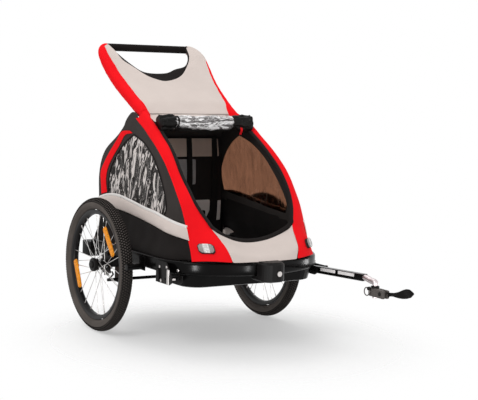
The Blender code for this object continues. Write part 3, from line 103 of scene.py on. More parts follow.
def add(tree, kind, settings=(), links=()):
    """One node with its settings, by property or input, and its links, by input.

    A ramp's stops are pairs of a position and a linear colour."""
    new = tree.nodes.new("ShaderNode" + kind)
    for key, value in dict(settings).items():
        if key == "stops":
            spots = new.color_ramp.elements
            while len(spots) < len(value):
                spots.new(0.5)
            for spot, (place, colour) in zip(spots, value):
                spot.position, spot.color = place, colour
        elif isinstance(key, str) and key not in new.inputs:
            setattr(new, key, value)
        else:
            new.inputs[key].default_value = value
    return link(tree, new, links)


def surface(name, settings):
    """A material with its shader, its output and the places that patterns are read from."""
    mat = bpy.data.materials.new(name)
    mat.use_nodes = True
    tree = mat.node_tree
    tree.nodes.clear()
    shader = add(tree, "BsdfPrincipled", settings)
    add(tree, "OutputMaterial", (), {"Surface": shader})
    return mat, tree, shader, add(tree, "TexCoord")


def show(tree, shader):
    """A shader put in place of the plain one."""
    link(tree, tree.nodes["Material Output"], {"Surface": shader})


def finish(tree, shader, colour, height, strength, depth, gloss=None, low=0.0, high=0.0):
    """A shader's colour, its relief and, over a gloss pattern, its roughness from low to high."""
    bump = add(tree, "Bump", {"Strength": strength, "Distance": depth}, {"Height": height})
    link(tree, shader, {"Base Color": colour, "Normal": bump})
    if gloss:
        ranged = add(tree, "MapRange", {"To Min": low, "To Max": high}, {"Value": gloss})
        link(tree, shader, {"Roughness": ranged})


def canvas(name, code, thread=0.0016, rough=0.88, sheen=0.03, fade=0.1, relief=0.0003, level=0.1):
    """Coated polyester canvas, plain weave: matt with a faint sheen, and soft shade changes.

    Threads of about 0.5 mm are drawn 1.6 mm apart, so that the weave shows in the picture."""
    mat, tree, shader, at = surface(name, {"Roughness": rough, "Sheen Weight": sheen,
                                           "Sheen Roughness": 0.5, "Specular IOR Level": level})
    warp, weft = [add(tree, "TexWave", {"bands_direction": way, "Scale": 0.314 / thread, "Distortion": 0.6,
                                        "Detail": 1.0}, {"Vector": at.outputs["UV"]}) for way in "XY"]
    weave = add(tree, "Math", {"operation": "MULTIPLY"}, {0: warp.outputs["Fac"], 1: weft.outputs["Fac"]})
    drift = add(tree, "TexNoise", {"Scale": 9.0, "Detail": 4.0, "Roughness": 0.6},
                {"Vector": at.outputs["Object"]})
    blotch = add(tree, "ValToRGB", {"stops": ((0.3, shade(code, 1 - fade)), (0.7, shade(code, 1 + fade)))},
                 {"Fac": drift})
    mix = add(tree, "Mix", {"data_type": "RGBA", "blend_type": "MULTIPLY", 0: 0.1}, {6: blotch, 7: weave})
    finish(tree, shader, mix.outputs[2], weave, 0.35, relief)
    return mat


def moulded(name, code, rough=0.5, grain=0.0012, relief=0.00008, level=0.2):
    """Moulded plastic or rubber with a fine spark-eroded grain and slightly uneven gloss."""
    mat, tree, shader, at = surface(name, {"Specular IOR Level": level})
    broad, fine = [add(tree, "TexNoise", {"Scale": scale, "Detail": detail}, {"Vector": at.outputs["Object"]})
                   for scale, detail in ((14.0, 3.0), (1 / grain, 2.0))]
    colour = add(tree, "ValToRGB", {"stops": ((0.3, shade(code, 0.85)), (0.75, shade(code, 1.2)))},
                 {"Fac": broad})
    finish(tree, shader, colour, fine, 0.5, relief, broad, rough - 0.07, rough + 0.07)
    return mat


def metal(name, code, rough, brush=(900.0, 40.0, 900.0)):
    """Drawn or plated metal: fine lines along the work in gloss and relief."""
    mat, tree, shader, at = surface(name, {"Metallic": 1.0})
    along = add(tree, "Mapping", {"Scale": brush}, {"Vector": at.outputs["Object"]})
    lines = add(tree, "TexNoise", {"Scale": 1.0, "Detail": 3.0}, {"Vector": along})
    worn = add(tree, "TexNoise", {"Scale": 30.0, "Detail": 4.0}, {"Vector": at.outputs["Object"]})
    wear = add(tree, "ValToRGB", {"stops": ((0.35, shade(code, 0.86)), (0.65, shade(code, 1.08)))},
               {"Fac": worn})
    finish(tree, shader, wear, lines, 0.2, 0.00005, lines, rough - 0.08, rough + 0.1)
    return mat


def film(name, code, rough, coarse, through, depth, detail, level, painted_reflection_tone=None, painted_reflection_creases=(), painted_dark_share=0.0):
    """Flexible vinyl film, calendered and creased.

    The streak tone is the colour of painted reflection streaks on the outer face, and the catch stops are the
    crease heights where they are painted;
    the veil is the share of that face painted near black, as painted shade of the dark space behind it. The
    tint is painted darker in the fold troughs and lighter on the ridges, as painted shade of the creases;
    from inside the film shows only that tint."""
    mat, tree, shader, at = surface(name, {"Roughness": rough, "IOR": 1.45, "Transmission Weight": through,
                                           "Specular IOR Level": level})
    along = add(tree, "Mapping", {"Scale": coarse, "Rotation": (0.16, 0.0, 0.0)},
                {"Vector": at.outputs["Object"]})
    folds = add(tree, "TexNoise", {"Scale": 1.0, "Detail": detail, "Roughness": 0.55, "Distortion": 1.4},
                {"Vector": along})
    outer = add(tree, "Math", {"operation": "SUBTRACT", 0: 1.0},
                {1: add(tree, "NewGeometry").outputs["Backfacing"]})
    strong = add(tree, "Math", {"operation": "MULTIPLY_ADD", 1: 0.68, 2: 0.02}, {0: outer})
    bump = add(tree, "Bump", {"Distance": depth}, {"Height": folds, "Strength": strong})
    # Painted shade: the tint is darker in the fold troughs and lighter on the ridges, from the same noise as
    # the bump
    tint_with_painted_fold_shade = add(tree, "ValToRGB", {"stops": ((0.36, shade(code, 0.78)), (0.62, shade(code, 1.15)))},
               {"Fac": folds})
    link(tree, shader, {"Base Color": tint_with_painted_fold_shade, "Normal": bump})
    if painted_reflection_tone:
        # Painted reflection: a white shader over thin lines and the catch creases of the fold noise, on the
        # outer face only
        off, on = (0.0, 0.0, 0.0, 1.0), (1.0, 1.0, 1.0, 1.0)
        stops = [(0.41, off), (0.418, on), (0.428, off), *zip(painted_reflection_creases, (off, on, on, off))]
        lines = add(tree, "ValToRGB", {"stops": stops}, {"Fac": folds})
        painted_reflection_mask = add(tree, "Math", {"operation": "MULTIPLY"}, {0: lines, 1: outer})
        sheen = add(tree, "BsdfPrincipled", {"Base Color": linear(painted_reflection_tone), "Roughness": 0.25},
                    {"Normal": bump})
        # Painted shade: a near-black coat over the veil's share of the outer face, standing for the dark
        # cabin behind the film
        dark = add(tree, "BsdfPrincipled", {"Base Color": linear("1D1918"), "Roughness": 0.5,
                                            "Specular IOR Level": 0.1}, {"Normal": bump})
        cover = add(tree, "Math", {"operation": "MULTIPLY", 1: painted_dark_share}, {0: outer})
        under = add(tree, "MixShader", (), {0: cover, 1: shader, 2: dark})
        show(tree, add(tree, "MixShader", (), {0: painted_reflection_mask, 1: under, 2: sheen}))
    return mat


def prism(name, code, painted_glint, cell=0.005):
    """Injection-moulded acrylic reflector: a clear skin over rows of small prisms. Each prism cell is painted
    bright at its centre as a painted glint and darker towards its edges as painted shade.
    """
    mat, tree, shader, at = surface(name, {"Roughness": 0.3, "Specular IOR Level": 0.12})
    cells = add(tree, "TexVoronoi", {"Scale": 1 / cell}, {"Vector": at.outputs["Object"]})
    # Painted glint at each prism cell's centre, painted shade towards its edges
    stops = ((0.0, linear(painted_glint)), (0.35, linear(code)), (0.75, shade(code, 0.7)))
    colour = add(tree, "ValToRGB", {"stops": stops}, {"Fac": cells})
    finish(tree, shader, colour, cells, 0.6, 0.0008)
    return mat


RED = canvas("red_polyester_canvas", "F8101B", sheen=0.0, fade=0.05)
GREY = canvas("grey_polyester_canvas", "DCCFC8", fade=0.03)
CHARCOAL = canvas("charcoal_polyester_canvas", "393432", fade=0.14)
BLACK = canvas("black_polyester_canvas", "1D1918", fade=0.18)
TAUPE = canvas("taupe_seat_cloth", "B3A297", fade=0.08)
SLATE = canvas("slate_grey_mesh_cloth", "8C8A8A", thread=0.003, fade=0.08)
SATIN = canvas("black_satin_lining", "0F0D0C", rough=0.5, sheen=0.0, level=0.12)
PANEL = canvas("pale_grey_seat_cloth", "BDB6B2", fade=0.06)
WEBBING = canvas("black_polyester_webbing", "151312", thread=0.0024, relief=0.0006)
PIPING = canvas("white_reflective_piping", "F0ECE9", rough=0.5, sheen=0.0, fade=0.02)
PULL_RED = canvas("red_pull_webbing", "E0131B")

# Powder-coated aluminium tube: near black with a soft broad highlight
COATED = moulded("black_powder_coat", "080707", rough=0.19, grain=0.0018, relief=0.00003, level=0.08)
# Glass-filled nylon fittings: black, a little duller than the tube
NYLON = moulded("black_nylon", "141212", rough=0.42, grain=0.001, relief=0.0001, level=0.12)
# Blow-moulded tub: black, semi-matt
TUB = moulded("black_moulded_tub", "090808", rough=0.25, grain=0.0025, relief=0.00006, level=0.09)
LENS_GREY = moulded("grey_reflector_housing", "8B8683", rough=0.25, level=0.5)
CASTING = moulded("dark_grey_die_casting", "57524F", rough=0.45, grain=0.0014, relief=0.00012)
LABEL = moulded("white_vinyl_label", "ECEAE9", rough=0.4, relief=0.00002)
FOAM = moulded("black_grip_foam", "1B1716", rough=0.92, grain=0.0016, relief=0.0005, level=0.08)
TYRE = moulded("black_tyre_rubber", "56504C", rough=0.8, grain=0.002, relief=0.0002, level=0.08)
# The tread's tops are lighter, for scuffing and as a painted highlight, and its grooves darker as painted
# shade; dust greys the side walls
TREAD_TOP_SCUFF_AND_HIGHLIGHT = moulded("tread_top_scuff_and_painted_highlight_rubber", "4E4946", rough=0.9, grain=0.0016, relief=0.00025, level=0.08)
TREAD_GROOVE_PAINTED_SHADE = moulded("tread_groove_painted_shade_rubber", "181615", rough=0.9, grain=0.0016, relief=0.0002, level=0.05)
SEAL = moulded("black_soft_rubber", "141211", rough=0.6)
RIM = moulded("black_anodised_rim", "121011", rough=0.38, grain=0.003, relief=0.00003, level=0.18)
# Zinc-plated and stainless steel: bright, drawn along the work
ZINC = metal("zinc_plated_steel", "C9C4C2", 0.34)
DARK_STEEL = metal("black_zinc_steel", "6E6967", 0.4)
STAINLESS = metal("stainless_spoke_wire", "D2CFCD", 0.28)
ALUMINIUM = metal("brushed_aluminium", "D4CACB", 0.36)
# Smoked window vinyl: brown where light comes through it; most of its outer face is painted near black as
# painted shade of the dark cabin, with painted reflection streaks along some creases
SMOKED = film("smoked_window_vinyl", "715342", 0.08, (3.0, 38.0, 10.0), 1.0, 0.01, 2.6, 0.05, "D2C9C5",
              (0.545, 0.555, 0.635, 0.65), 0.88)
SMOKED_INSIDE = film("smoked_window_vinyl_inside", "8A5840", 0.12, (3.0, 16.0, 7.0), 1.0, 0.001, 2.0, 0.1)
# Clear rain cover vinyl, with painted white reflection streaks along some of its creases
CLEAR = film("clear_rain_cover_vinyl", "6F6A6A", 0.12, (15.0, 58.0, 58.0), 0.25, 0.006, 3.0, 0.5, "F2F0F0",
             (0.455, 0.49, 0.575, 0.625))
AMBER = prism("amber_acrylic_reflector", "FF9A06", "FFC63A")
WHITE_LENS = prism("white_acrylic_reflector", "E2DFDD", "F1EFEE")

# Black fittings that keep their solids
for finish_mat, nodes in (
        (COATED, "axle rear_tube wheel_guard_left wheel_guard_right main_hoop rear_hoop brake_bar "
                 "tow_arm_tube"),
        (NYLON, "rear_bracket_left rear_bracket_right tow_bracket_left tow_bracket_right floor_board "
                "wheel_receiver"),
        (TUB, "footwell_tray"), (CASTING, "hitch_block"), (SEAL, "rubber_collar"),
        (ZINC, "receiver_button lock_pin_left lock_pin_right"),
        (AMBER, "wheel_reflector_front_left wheel_reflector_rear_left "
                "wheel_reflector_front_right wheel_reflector_rear_right")):
    for node_name in nodes.split():
        frame["nodes"][node_name].data.materials.clear()
        frame["nodes"][node_name].data.materials.append(finish_mat)


def mm(text):
    """Points in metres from millimetres: a space between numbers and a comma between points."""
    return [tuple(float(number + "e-3") for number in point.split()) for point in text.split(",")]


# Curves of the trailer's left half (x, y, z) and of its side (y, z)
SEAM_POINTS = mm("256 -497 327, 251 -473 371, 249 -448 416, 250 -428 462, 251 -403 507, 252 -371 550, "
                 "252 -336 593, 251 -294 636, 248 -245 677, 242 -187 718, 233 -116 759, 227 -55 783, "
                 "222 1 802")
EDGE_POINTS = mm("134 -570 327, 147 -556 365, 156 -524 395, 166 -489 424, 180 -462 457, 196 -438 490, "
                 "208 -411 523, 214 -381 560, 217 -349 594, 216 -311 632, 210 -268 670, 205 -221 706, "
                 "201 -164 742, 194 -103 774, 186 -55 790, 178 -14 804")
HANDLE_POINTS = mm("196.5 -12 811, 198 33 836, 204 91 870, 211.5 152 907, 219 204 945, 224.5 250 987, "
                   "224 291 1027, 212 323 1051, 195 335.5 1060.5")
GRIP = (0.337, 1.062)
BACK_OUTLINE = mm("-5 806, 1 813.5, 16 819.2, 34 820, 47 817.5, 58 809, 71 796, 82 781, 88 765, 112 741, "
                  "136 722, 163 704, 205 676, 230 648, 242 618, 246 590, 242 546, 222 481, 202 416, 186 360, "
                  "180 332")
HEM_OUTLINE = mm("180 332, 150 316, 60 304, -100 303, -280 304, -390 310, -440 327, -494 330")
WINDOW_BACK = mm("-5 732, 44 707, 76 683, 103 658, 125 630, 144 600, 150 570, 149 541, 140 502")
WINDOW_LOW = mm("140 502, 48 492, -44 483, -158 469, -296 457")
WINDOW_FRONT = mm("-296 457, -309 492, -293 528, -271 561, -244 593, -213 625, -177 656, -133 685, -80 711, "
                  "-5 732")
# Upper edge, then lower edge, of the padded stripe; outer edge, then inner edge, of the red rear strip
STRIPE = mm("214 474 206 452, 171 488 155 451.5, 114 498 100 451.5, 48 500 40 449.5, -44 491 -49 444, "
            "-158 477 -165 432, -240 470 -247 422, -310 460 -320 412, -370 451 -384 405, -425 443 -446 398, "
            "-440 440.8 -462 395.5")
REAR_STRIP = mm("30 749 8 741, 96 742 62 730, 130 707 94 697, 175 657 138 644, 206 615 166 603, "
                "226 578 172 568, 216 540 165 537, 196 492 150 503.5")
# The bumper band: half width, nose, thickness, rear end and top edge, and the cloth's gap from it
BAND_HALF, BAND_FRONT, BAND_THICK, BAND_BACK, BAND_TOP, BAND_GAP = 0.329, -0.588, 0.026, 0.15, 0.3268, 0.0012
LINING_THICK = 0.0012


def clamp(value):
    return min(1.0, max(0.0, value))


def steps(a, b, count):
    """A number for each end of count even steps from a to b."""
    return [a + (b - a) * i / count for i in range(count + 1)]


def angles(count):
    return [2 * pi * i / count for i in range(count)]


def lengths(points):
    """Distance along a polyline to each of its points."""
    runs = [0.0]
    for a, b in zip(points, points[1:]):
        runs.append(runs[-1] + (b - a).length)
    return runs


def even(points, count):
    """Points spaced evenly along a polyline."""
    pts = [Vector(p) for p in points]
    runs = lengths(pts)
    out, k = [], 0
    for want in steps(0.0, runs[-1], count - 1):
        while k < len(runs) - 2 and runs[k + 1] < want:
            k += 1
        span = runs[k + 1] - runs[k]
        out.append(pts[k].lerp(pts[k + 1], clamp((want - runs[k]) / span if span else 0.0)))
    return out


def smooth_path(points, count):
    """Evenly spaced points on a smooth curve through the given points; a flat curve's third measure is 0."""
    pts = [Vector(tuple(p) + (0.0,) * (3 - len(p))) for p in points]
    pts = [pts[0] * 2 - pts[1]] + pts + [pts[-1] * 2 - pts[-2]]
    fine = []
    for a, b, c, d in zip(pts, pts[1:], pts[2:], pts[3:]):
        for k in range(12):
            t = k / 12
            fine.append(0.5 * (2 * b + (c - a) * t + (2 * a - 5 * b + 4 * c - d) * t * t
                               + (3 * b - a - 3 * c + d) * t ** 3))
    return even(fine + [pts[-2]], count)


def two_edges(rows, count):
    """Smooth lines through the first and the second point of each row."""
    return smooth_path([q[:2] for q in rows], count), smooth_path([q[2:] for q in rows], count)


def at_height(curve, z):
    """Where a rising curve passes a height."""
    if z <= curve[0].z:
        return curve[0].copy()
    for a, b in zip(curve, curve[1:]):
        if b.z >= z:
            return a.lerp(b, (z - a.z) / (b.z - a.z))
    return curve[-1].copy()


def table(rows, at):
    """A value read between the rows of a table that rises."""
    for (a, u), (b, v) in zip(rows, rows[1:]):
        if at <= b:
            return u + (v - u) * max(0.0, at - a) / max(b - a, 1e-6)
    return rows[-1][1]


SEAM = smooth_path(SEAM_POINTS, 240)
EDGE = smooth_path(EDGE_POINTS, 240)
# Outer face of the bumper band in plan, left half, from the nose to the rear
BAND = smooth_path([(0.0, BAND_FRONT)] + [(BAND_HALF - a, BAND_FRONT + b) for a, b in
                                          mm("269 4, 209 19, 149 41, 93 71, 48 110, 17 159, 3 210, 0 262, "
                                             "0 330")], 60)


def band_offset(depth):
    """The band's plan line moved inwards by depth, left half."""
    runs = [Vector((1.0, 0.0, 0.0))] + [(b - a).normalized() for a, b in zip(BAND, BAND[2:] + BAND[-1:])]
    return [p + Vector((-run.y, run.x, 0.0)) * depth for p, run in zip(BAND, runs)]


# Half width between the inner faces of the band, by y
BAND_INNER = [(p.y, p.x) for p in band_offset(BAND_THICK)]
BAND_INNER.append((BAND_INNER[-1][0], BAND_HALF - BAND_THICK))


def wall_plane(z):
    return 0.282 - 0.117 * (z - 0.33)


def wall_x(y, z):
    """Half width of the cabin's side at (y, z)."""
    front = at_height(SEAM, z)
    reach = max(0.0, 1.0 - max(0.0, y - front.y) / 0.12)
    hem = clamp((0.385 - z) / 0.065)
    x = wall_plane(z) + (front.x - wall_plane(front.z)) * reach ** 2
    x += 0.022 * hem * hem * (3 - 2 * hem) * clamp((y + 0.46) / 0.1)
    return min(x, max(table(BAND_INNER, y), front.x + BAND_GAP) - BAND_GAP)


def on_wall(s, q, lift=0.0):
    """The place on the left (s = 1) or right wall at q = (y, z), lifted off it."""
    return Vector((s * (wall_x(q[0], q[1]) + lift), q[0], q[1]))


def frames(points, up=Vector((0.0, 0.0, 1.0))):
    """Tangent, side and normal along a path, turned as little as possible."""
    out, normal = [], up
    for i in range(len(points)):
        tangent = (points[min(i + 1, len(points) - 1)] - points[max(i - 1, 0)]).normalized()
        normal = (normal - tangent * normal.dot(tangent)).normalized()
        out.append((tangent, tangent.cross(normal), normal))
    return out


def rings_on(points, outline, up=(0.0, 0.0, 1.0)):
    """An outline of (side, normal) offsets set on each point of a path."""
    return [[p + side * a + normal * b for a, b in outline]
            for p, (_, side, normal) in zip(points, frames(points, Vector(up)))]


def circle(radius, sides):
    return [(radius * cos(a), radius * sin(a)) for a in angles(sides)]


def strip(wide, thick):
    """A flat band's outline, from its half width and half thickness."""
    return [(-wide, -thick), (wide, -thick), (wide, thick), (-wide, thick)]


def mirror(points):
    return [Vector((-p[0], p[1], p[2])) for p in points]


def ruffle(p, scale, size, seed=0.0):
    """A smooth signed value at a place: waves of unlike length along each axis."""
    q = Vector((p.x * scale[0] + seed, p.y * scale[1] + seed * 1.7, p.z * scale[2] - seed))
    return (noise.noise(q) + 0.45 * noise.noise(q * 2.1 + Vector((7.0, 3.0, 5.0)))) * size


def quilt(rows, wrap=False, cap=False, loop=False):
    """A mesh over rows of points, with a UV map in metres along the rows and across them."""
    bm = bmesh.new()
    layer = bm.loops.layers.uv.new("cloth")
    grid = [[bm.verts.new(p) for p in row] for row in rows]
    n = len(rows[0])
    middle = rows[len(rows) // 2]
    across, along = lengths([row[n // 2] for row in rows]), lengths([*middle, middle[0]])
    for r in range(len(rows) if loop else len(rows) - 1):
        q = (r + 1) % len(rows)
        step = across[q] if q else across[r] + 0.01
        for i in range(n if wrap else n - 1):
            j = (i + 1) % n
            face = bm.faces.new((grid[r][i], grid[r][j], grid[q][j], grid[q][i]))
            for corner, uv in zip(face.loops, ((along[i], across[r]), (along[i + 1], across[r]),
                                               (along[i + 1], step), (along[i], step))):
                corner[layer].uv = uv
    if cap:
        bm.faces.new(grid[0][::-1])
        bm.faces.new(grid[-1])
    return bm


def look_away(bm, middle):
    """Faces made to agree, and turned so that they look away from a point."""
    bmesh.ops.recalc_face_normals(bm, faces=bm.faces)
    centre = Vector(middle)
    if sum((f.calc_center_median() - centre).dot(f.normal) * f.calc_area() for f in bm.faces) < 0:
        bmesh.ops.reverse_faces(bm, faces=bm.faces)


def push(bm, fold):
    """Each point moved along its normal by what fold says for its place."""
    bm.normal_update()
    for v, move in [(v, v.normal * fold(v.co)) for v in bm.verts]:
        v.co += move


def choose(obj, *others):
    bpy.ops.object.select_all(action="DESELECT")
    for one in (obj, *others):
        one.select_set(True)
    bpy.context.view_layer.objects.active = obj


def settle(obj, body, replaces=None, angle=40):
    """Smooth shading, the body it moves with, and the node it stands for, hidden."""
    choose(obj)
    bpy.ops.object.shade_smooth_by_angle(angle=radians(angle))
    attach(obj, body)
    if replaces:
        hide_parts(replaces)
    return obj


def modify(obj, kind, **settings):
    """One modifier, set and applied."""
    choose(obj)
    mod = obj.modifiers.new(kind.lower(), kind)
    for key, value in settings.items():
        setattr(mod, key, value)
    bpy.ops.object.modifier_apply(modifier=mod.name)


def placed(name, mesh, mat):
    """An object for a mesh."""
    obj = bpy.data.objects.new(name, mesh)
    SCENE.collection.objects.link(obj)
    mesh.materials.append(mat)
    return obj


def piece(name, bm, mat, body, replaces=None, angle=40, outward=True):
    """A finished mesh as a piece of the trailer, set in the frame's own place."""
    if outward:
        bmesh.ops.recalc_face_normals(bm, faces=bm.faces)
    bmesh.ops.translate(bm, verts=bm.verts, vec=(0.0, AXLE_Y, 0.0))
    mesh = bpy.data.meshes.new(name)
    bm.to_mesh(mesh)
    bm.free()
    return settle(placed(name, mesh, mat), body, replaces, angle)


def closed(name, rows, mat, body, replaces=None, angle=60, loop=False):
    """A solid piece over rings of points, its ends closed or, as a loop, joined."""
    return piece(name, quilt(rows, True, not loop, loop), mat, body, replaces, angle)


def bar(name, path, radius, mat, body, sides=16, replaces=None):
    """A round bar along a path."""
    rings = rings_on([Vector(p) for p in path], circle(radius, sides))
    return closed(name, rings, mat, body, replaces, 40)


def sewn(name, rows, mat, body, replaces=None, fold=None, middle=(0, 0, 0.4), thick=0.0016, wrap=False):
    """Cloth from rows of points, its outside away from the middle: folds, thickness, then one smoothing."""
    bm = quilt(rows, wrap)
    look_away(bm, middle)
    if fold:
        push(bm, fold)
    cut = sum(f.calc_area() for f in bm.faces)
    wide = max(sum((b - a).length for a, b in zip(row, row[1:])) for row in rows)
    tall = max(sum((b[i] - a[i]).length for a, b in zip(rows, rows[1:])) for i in range(len(rows[0])))
    if wrap:
        wide, tall = [max(p[k] for p in rows[0]) - min(p[k] for p in rows[0]) for k in (1, 2)]
    tall = max(tall, cut / wide * 1.002)
    obj = piece(name, bm, mat, body, None, 180, outward=False)
    modify(obj, "SOLIDIFY", thickness=thick, offset=-1.0)
    modify(obj, "SUBSURF", levels=1, render_levels=1)
    return settle(obj, body, replaces, 60)


def spun(name, profile, mat, body, replaces, turns=96, closed_line=True):
    """A ring or disc turned about the axle from its profile of (x, radius)."""
    mesh = bpy.data.meshes.new(name)
    last = len(profile) - 1
    mesh.from_pydata([(x, AXLE_Y, TYRE_R + r) for x, r in profile],
                     [(i, i + 1) for i in range(last)] + ([(last, 0)] if closed_line else []), [])
    obj = placed(name, mesh, mat)
    choose(obj)
    bpy.ops.object.mode_set(mode="EDIT")
    bpy.ops.mesh.select_all(action="SELECT")
    bpy.ops.mesh.spin(steps=turns, angle=2 * pi, center=(0.0, AXLE_Y, TYRE_R), axis=(1.0, 0.0, 0.0))
    bpy.ops.mesh.select_all(action="SELECT")
    bpy.ops.mesh.remove_doubles(threshold=0.00002)
    bpy.ops.mesh.normals_make_consistent(inside=False)
    bpy.ops.object.mode_set(mode="OBJECT")
    return settle(obj, body, replaces, 35)


def shaped(name, mat, body, bevel, turns, limit, angle):
    """The block or cylinder just made, as a piece with its edges rounded."""
    obj = bpy.context.active_object
    obj.name = obj.data.name = name
    bpy.ops.object.transform_apply(location=True, rotation=True, scale=True)
    if bevel:
        modify(obj, "BEVEL", width=bevel, segments=turns, limit_method="ANGLE", angle_limit=radians(limit))
    obj.data.materials.append(mat)
    return settle(obj, body, angle=angle)


def block(name, lo, hi, mat, body, bevel, turns=2):
    """A block between two corners."""
    middle = (Vector(lo) + Vector(hi)) / 2 + Vector((0.0, AXLE_Y, 0.0))
    bpy.ops.mesh.primitive_cube_add(size=1.0, location=middle, scale=[abs(b - a) for a, b in zip(lo, hi)])
    return shaped(name, mat, body, bevel, turns, 40, 35)


def stud(name, start, end, radius, mat, body, sides=24, bevel=0.0):
    """A round pin, bolt or cap between two points."""
    a, b = Vector(start), Vector(end)
    bpy.ops.mesh.primitive_cylinder_add(vertices=sides, radius=radius, depth=(b - a).length,
                                        location=(a + b) / 2 + Vector((0.0, AXLE_Y, 0.0)),
                                        rotation=(b - a).to_track_quat("Z", "Y").to_euler())
    return shaped(name, mat, body, bevel, 2, 60, 40)


def merged(name, objs, mat, body, replaces=None, angle=40):
    """Several pieces of one part joined in one object."""
    choose(*objs)
    bpy.ops.object.join()
    objs[0].name = objs[0].data.name = name
    objs[0].data.materials.clear()
    objs[0].data.materials.append(mat)
    return settle(objs[0], body, replaces, angle)

SIDES = ((1, "left"), (-1, "right"))

# Wheels: knobbly tyre, boxed rim, laced spokes, hub with its toothed ring and cap
TORUS_R = 0.2265
CASING_R = 0.0214
KNOB_HIGH = 0.0026
KNOBS = 150
SPOKES = 14
SPOKE_IN_R, SPOKE_OUT_R = 0.0205, 0.1905
OVAL = 1.05


def tread_rows(mid):
    """Rings of points round the tyre, block by block across it."""
    side = [(-158, 0.0), (-140, 0.0), (-122, 0.0), (-112, 0.0), (-110.5, 0.0007), (-107, 0.0007),
            (-105.5, 0.0), (-92, 0.0), (-78, 0.0), (-70, 0.0)]
    spec = [(a, h, None) for a, h in side]
    for k in range(7):
        start = 19.0 * k - 66.5
        spec += [(start + 0.8, 0.0, k), (start + 2.2, 1.0, k), (start + 14.2, 1.0, k), (start + 15.6, 0.0, k)]
    rings = []
    for angle, lift, row in spec + [(-a, h, None) for a, h in side[::-1]]:
        tall = lift if row is None else KNOB_HIGH * lift * (0.8 if row in (0, 6) else 1.0)
        shift = 0.0 if row is None else 0.5 * (row % 2) + 0.06 * abs(row - 3)
        ring = []
        for i in range(KNOBS):
            for f, risen in ((0.0, 0), (0.1, 1), (0.58, 1), (0.68, 0)):
                t = 2 * pi * (i + f + shift) / KNOBS
                out = CASING_R + (tall if row is None else tall * risen)
                r = TORUS_R + out * cos(radians(angle))
                ring.append(Vector((mid + out * sin(radians(angle)) * OVAL, r * cos(t), TYRE_R + r * sin(t))))
        rings.append(ring)
    return rings


def in_wheel(x, r, a):
    """A place in the wheel, by its radius and angle."""
    return Vector((x, r * cos(a), TYRE_R + r * sin(a)))


for s, word in SIDES:
    mid = s * WHEEL_X
    wheel = f"wheel_{word}"
    tyre = closed(f"tyre_with_tread_{word}", tread_rows(mid), TYRE, wheel, f"tyre_{word}", 30, loop=True)
    tyre.data.materials.append(TREAD_TOP_SCUFF_AND_HIGHLIGHT)
    tyre.data.materials.append(TREAD_GROOVE_PAINTED_SHADE)
    for face in tyre.data.polygons:
        c = face.center
        rise, over = hypot(c.y - AXLE_Y, c.z - TYRE_R) - TORUS_R, abs(c.x - mid) / OVAL
        tread = atan2(over, rise) < radians(69)
        # Knob tops take the lighter rubber (scuff and painted highlight), the casing between knobs the dark
        # rubber as painted shade
        face.material_index = 1 if hypot(rise, over) > CASING_R + 0.0017 else 2 if tread else 0
    rim = mm("-13.5 205.8, -13.9 203, -13.5 197.8, -12 193, -8.1 189.7, -4 188.6, 4 188.6, 8.1 189.7, "
             "12 193, 13.5 197.8, 13.9 203, 13.5 205.8, 11.5 205, 6 201.8, 0 200.8, -6 201.8, -11.5 205")
    spun(f"boxed_rim_{word}", [(mid + x, r) for x, r in rim], RIM, wheel, f"rim_{word}")
    wires, nipples = [], []
    for flange, (hub_x, rim_x) in enumerate(((-0.017, -0.003), (0.005, 0.003))):
        for k in range(SPOKES):
            lean = 1 if k % 2 else -1
            a = 2 * pi * (k + 0.5 * flange) / SPOKES
            off = s * lean * 0.0014
            p0 = in_wheel(mid + s * hub_x + off, SPOKE_IN_R, a)
            p1 = in_wheel(mid + s * rim_x + off * 0.6, SPOKE_OUT_R, a + lean * radians(56))
            run = (p1 - p0).normalized()
            wires.append(stud("spoke", p0 - run * 0.001, p1, 0.0011, STAINLESS, wheel, 8))
            nipples.append(stud("nipple", p1 - run * 0.014, p1 - run * 0.001, 0.0021, ZINC, wheel, 10))
    merged(f"spokes_{word}", wires, STAINLESS, wheel)
    merged(f"spoke_nipples_{word}", nipples, ZINC, wheel)
    shell = mm("-31.2 6.4, -31.2 15, -29 16, -20 15, -18.8 21.5, -18 22.5, -16 22.5, -15.2 21.5, -14 13, "
               "-5 11.8, 2 13, 3.2 21.5, 4 22.5, 6 22.5, 6.8 21.5, 8 16.5, 13 16.5, 13.2 24.2, 14.5 25.2, "
               "22.5 25.2, 25 24, 25.8 22.2, 25.8 14.6, 18 14.6, 18 6.4")
    spun(f"hub_shell_{word}", [(mid + s * x, r) for x, r in shell], NYLON, wheel, f"hub_{word}", 64)
    teeth = [(r, a + d - radians(155)) for a in steps(pi / 12, 23 * pi / 12, 11) for d, r in
             ((-0.145, 0.0362), (-0.112, 0.037), (-0.095, 0.0448), (0.095, 0.0448), (0.112, 0.037),
              (0.145, 0.0362))]
    bore = [(0.0152, a + pi / 12 - radians(155) - 2 * pi * 0.0231) for a in angles(72)]
    closed(f"brake_toothed_ring_{word}", [[in_wheel(s * x, *spot) for spot in ring] for x, ring in
                                          ((0.3344, bore), (0.3344, teeth), (0.3396, teeth), (0.3396, bore))],
           NYLON, wheel, None, 30, True)
    face = mm("22.6 0, 22.6 13.9, 29.8 13.9, 31.7 12.5, 32.5 10.5, 31.4 9.5, 31.4 0")
    spun(f"push_cap_{word}", [(mid + s * x, r) for x, r in face], SEAL, f"release_{word}",
         f"release_button_{word}", 40, False)

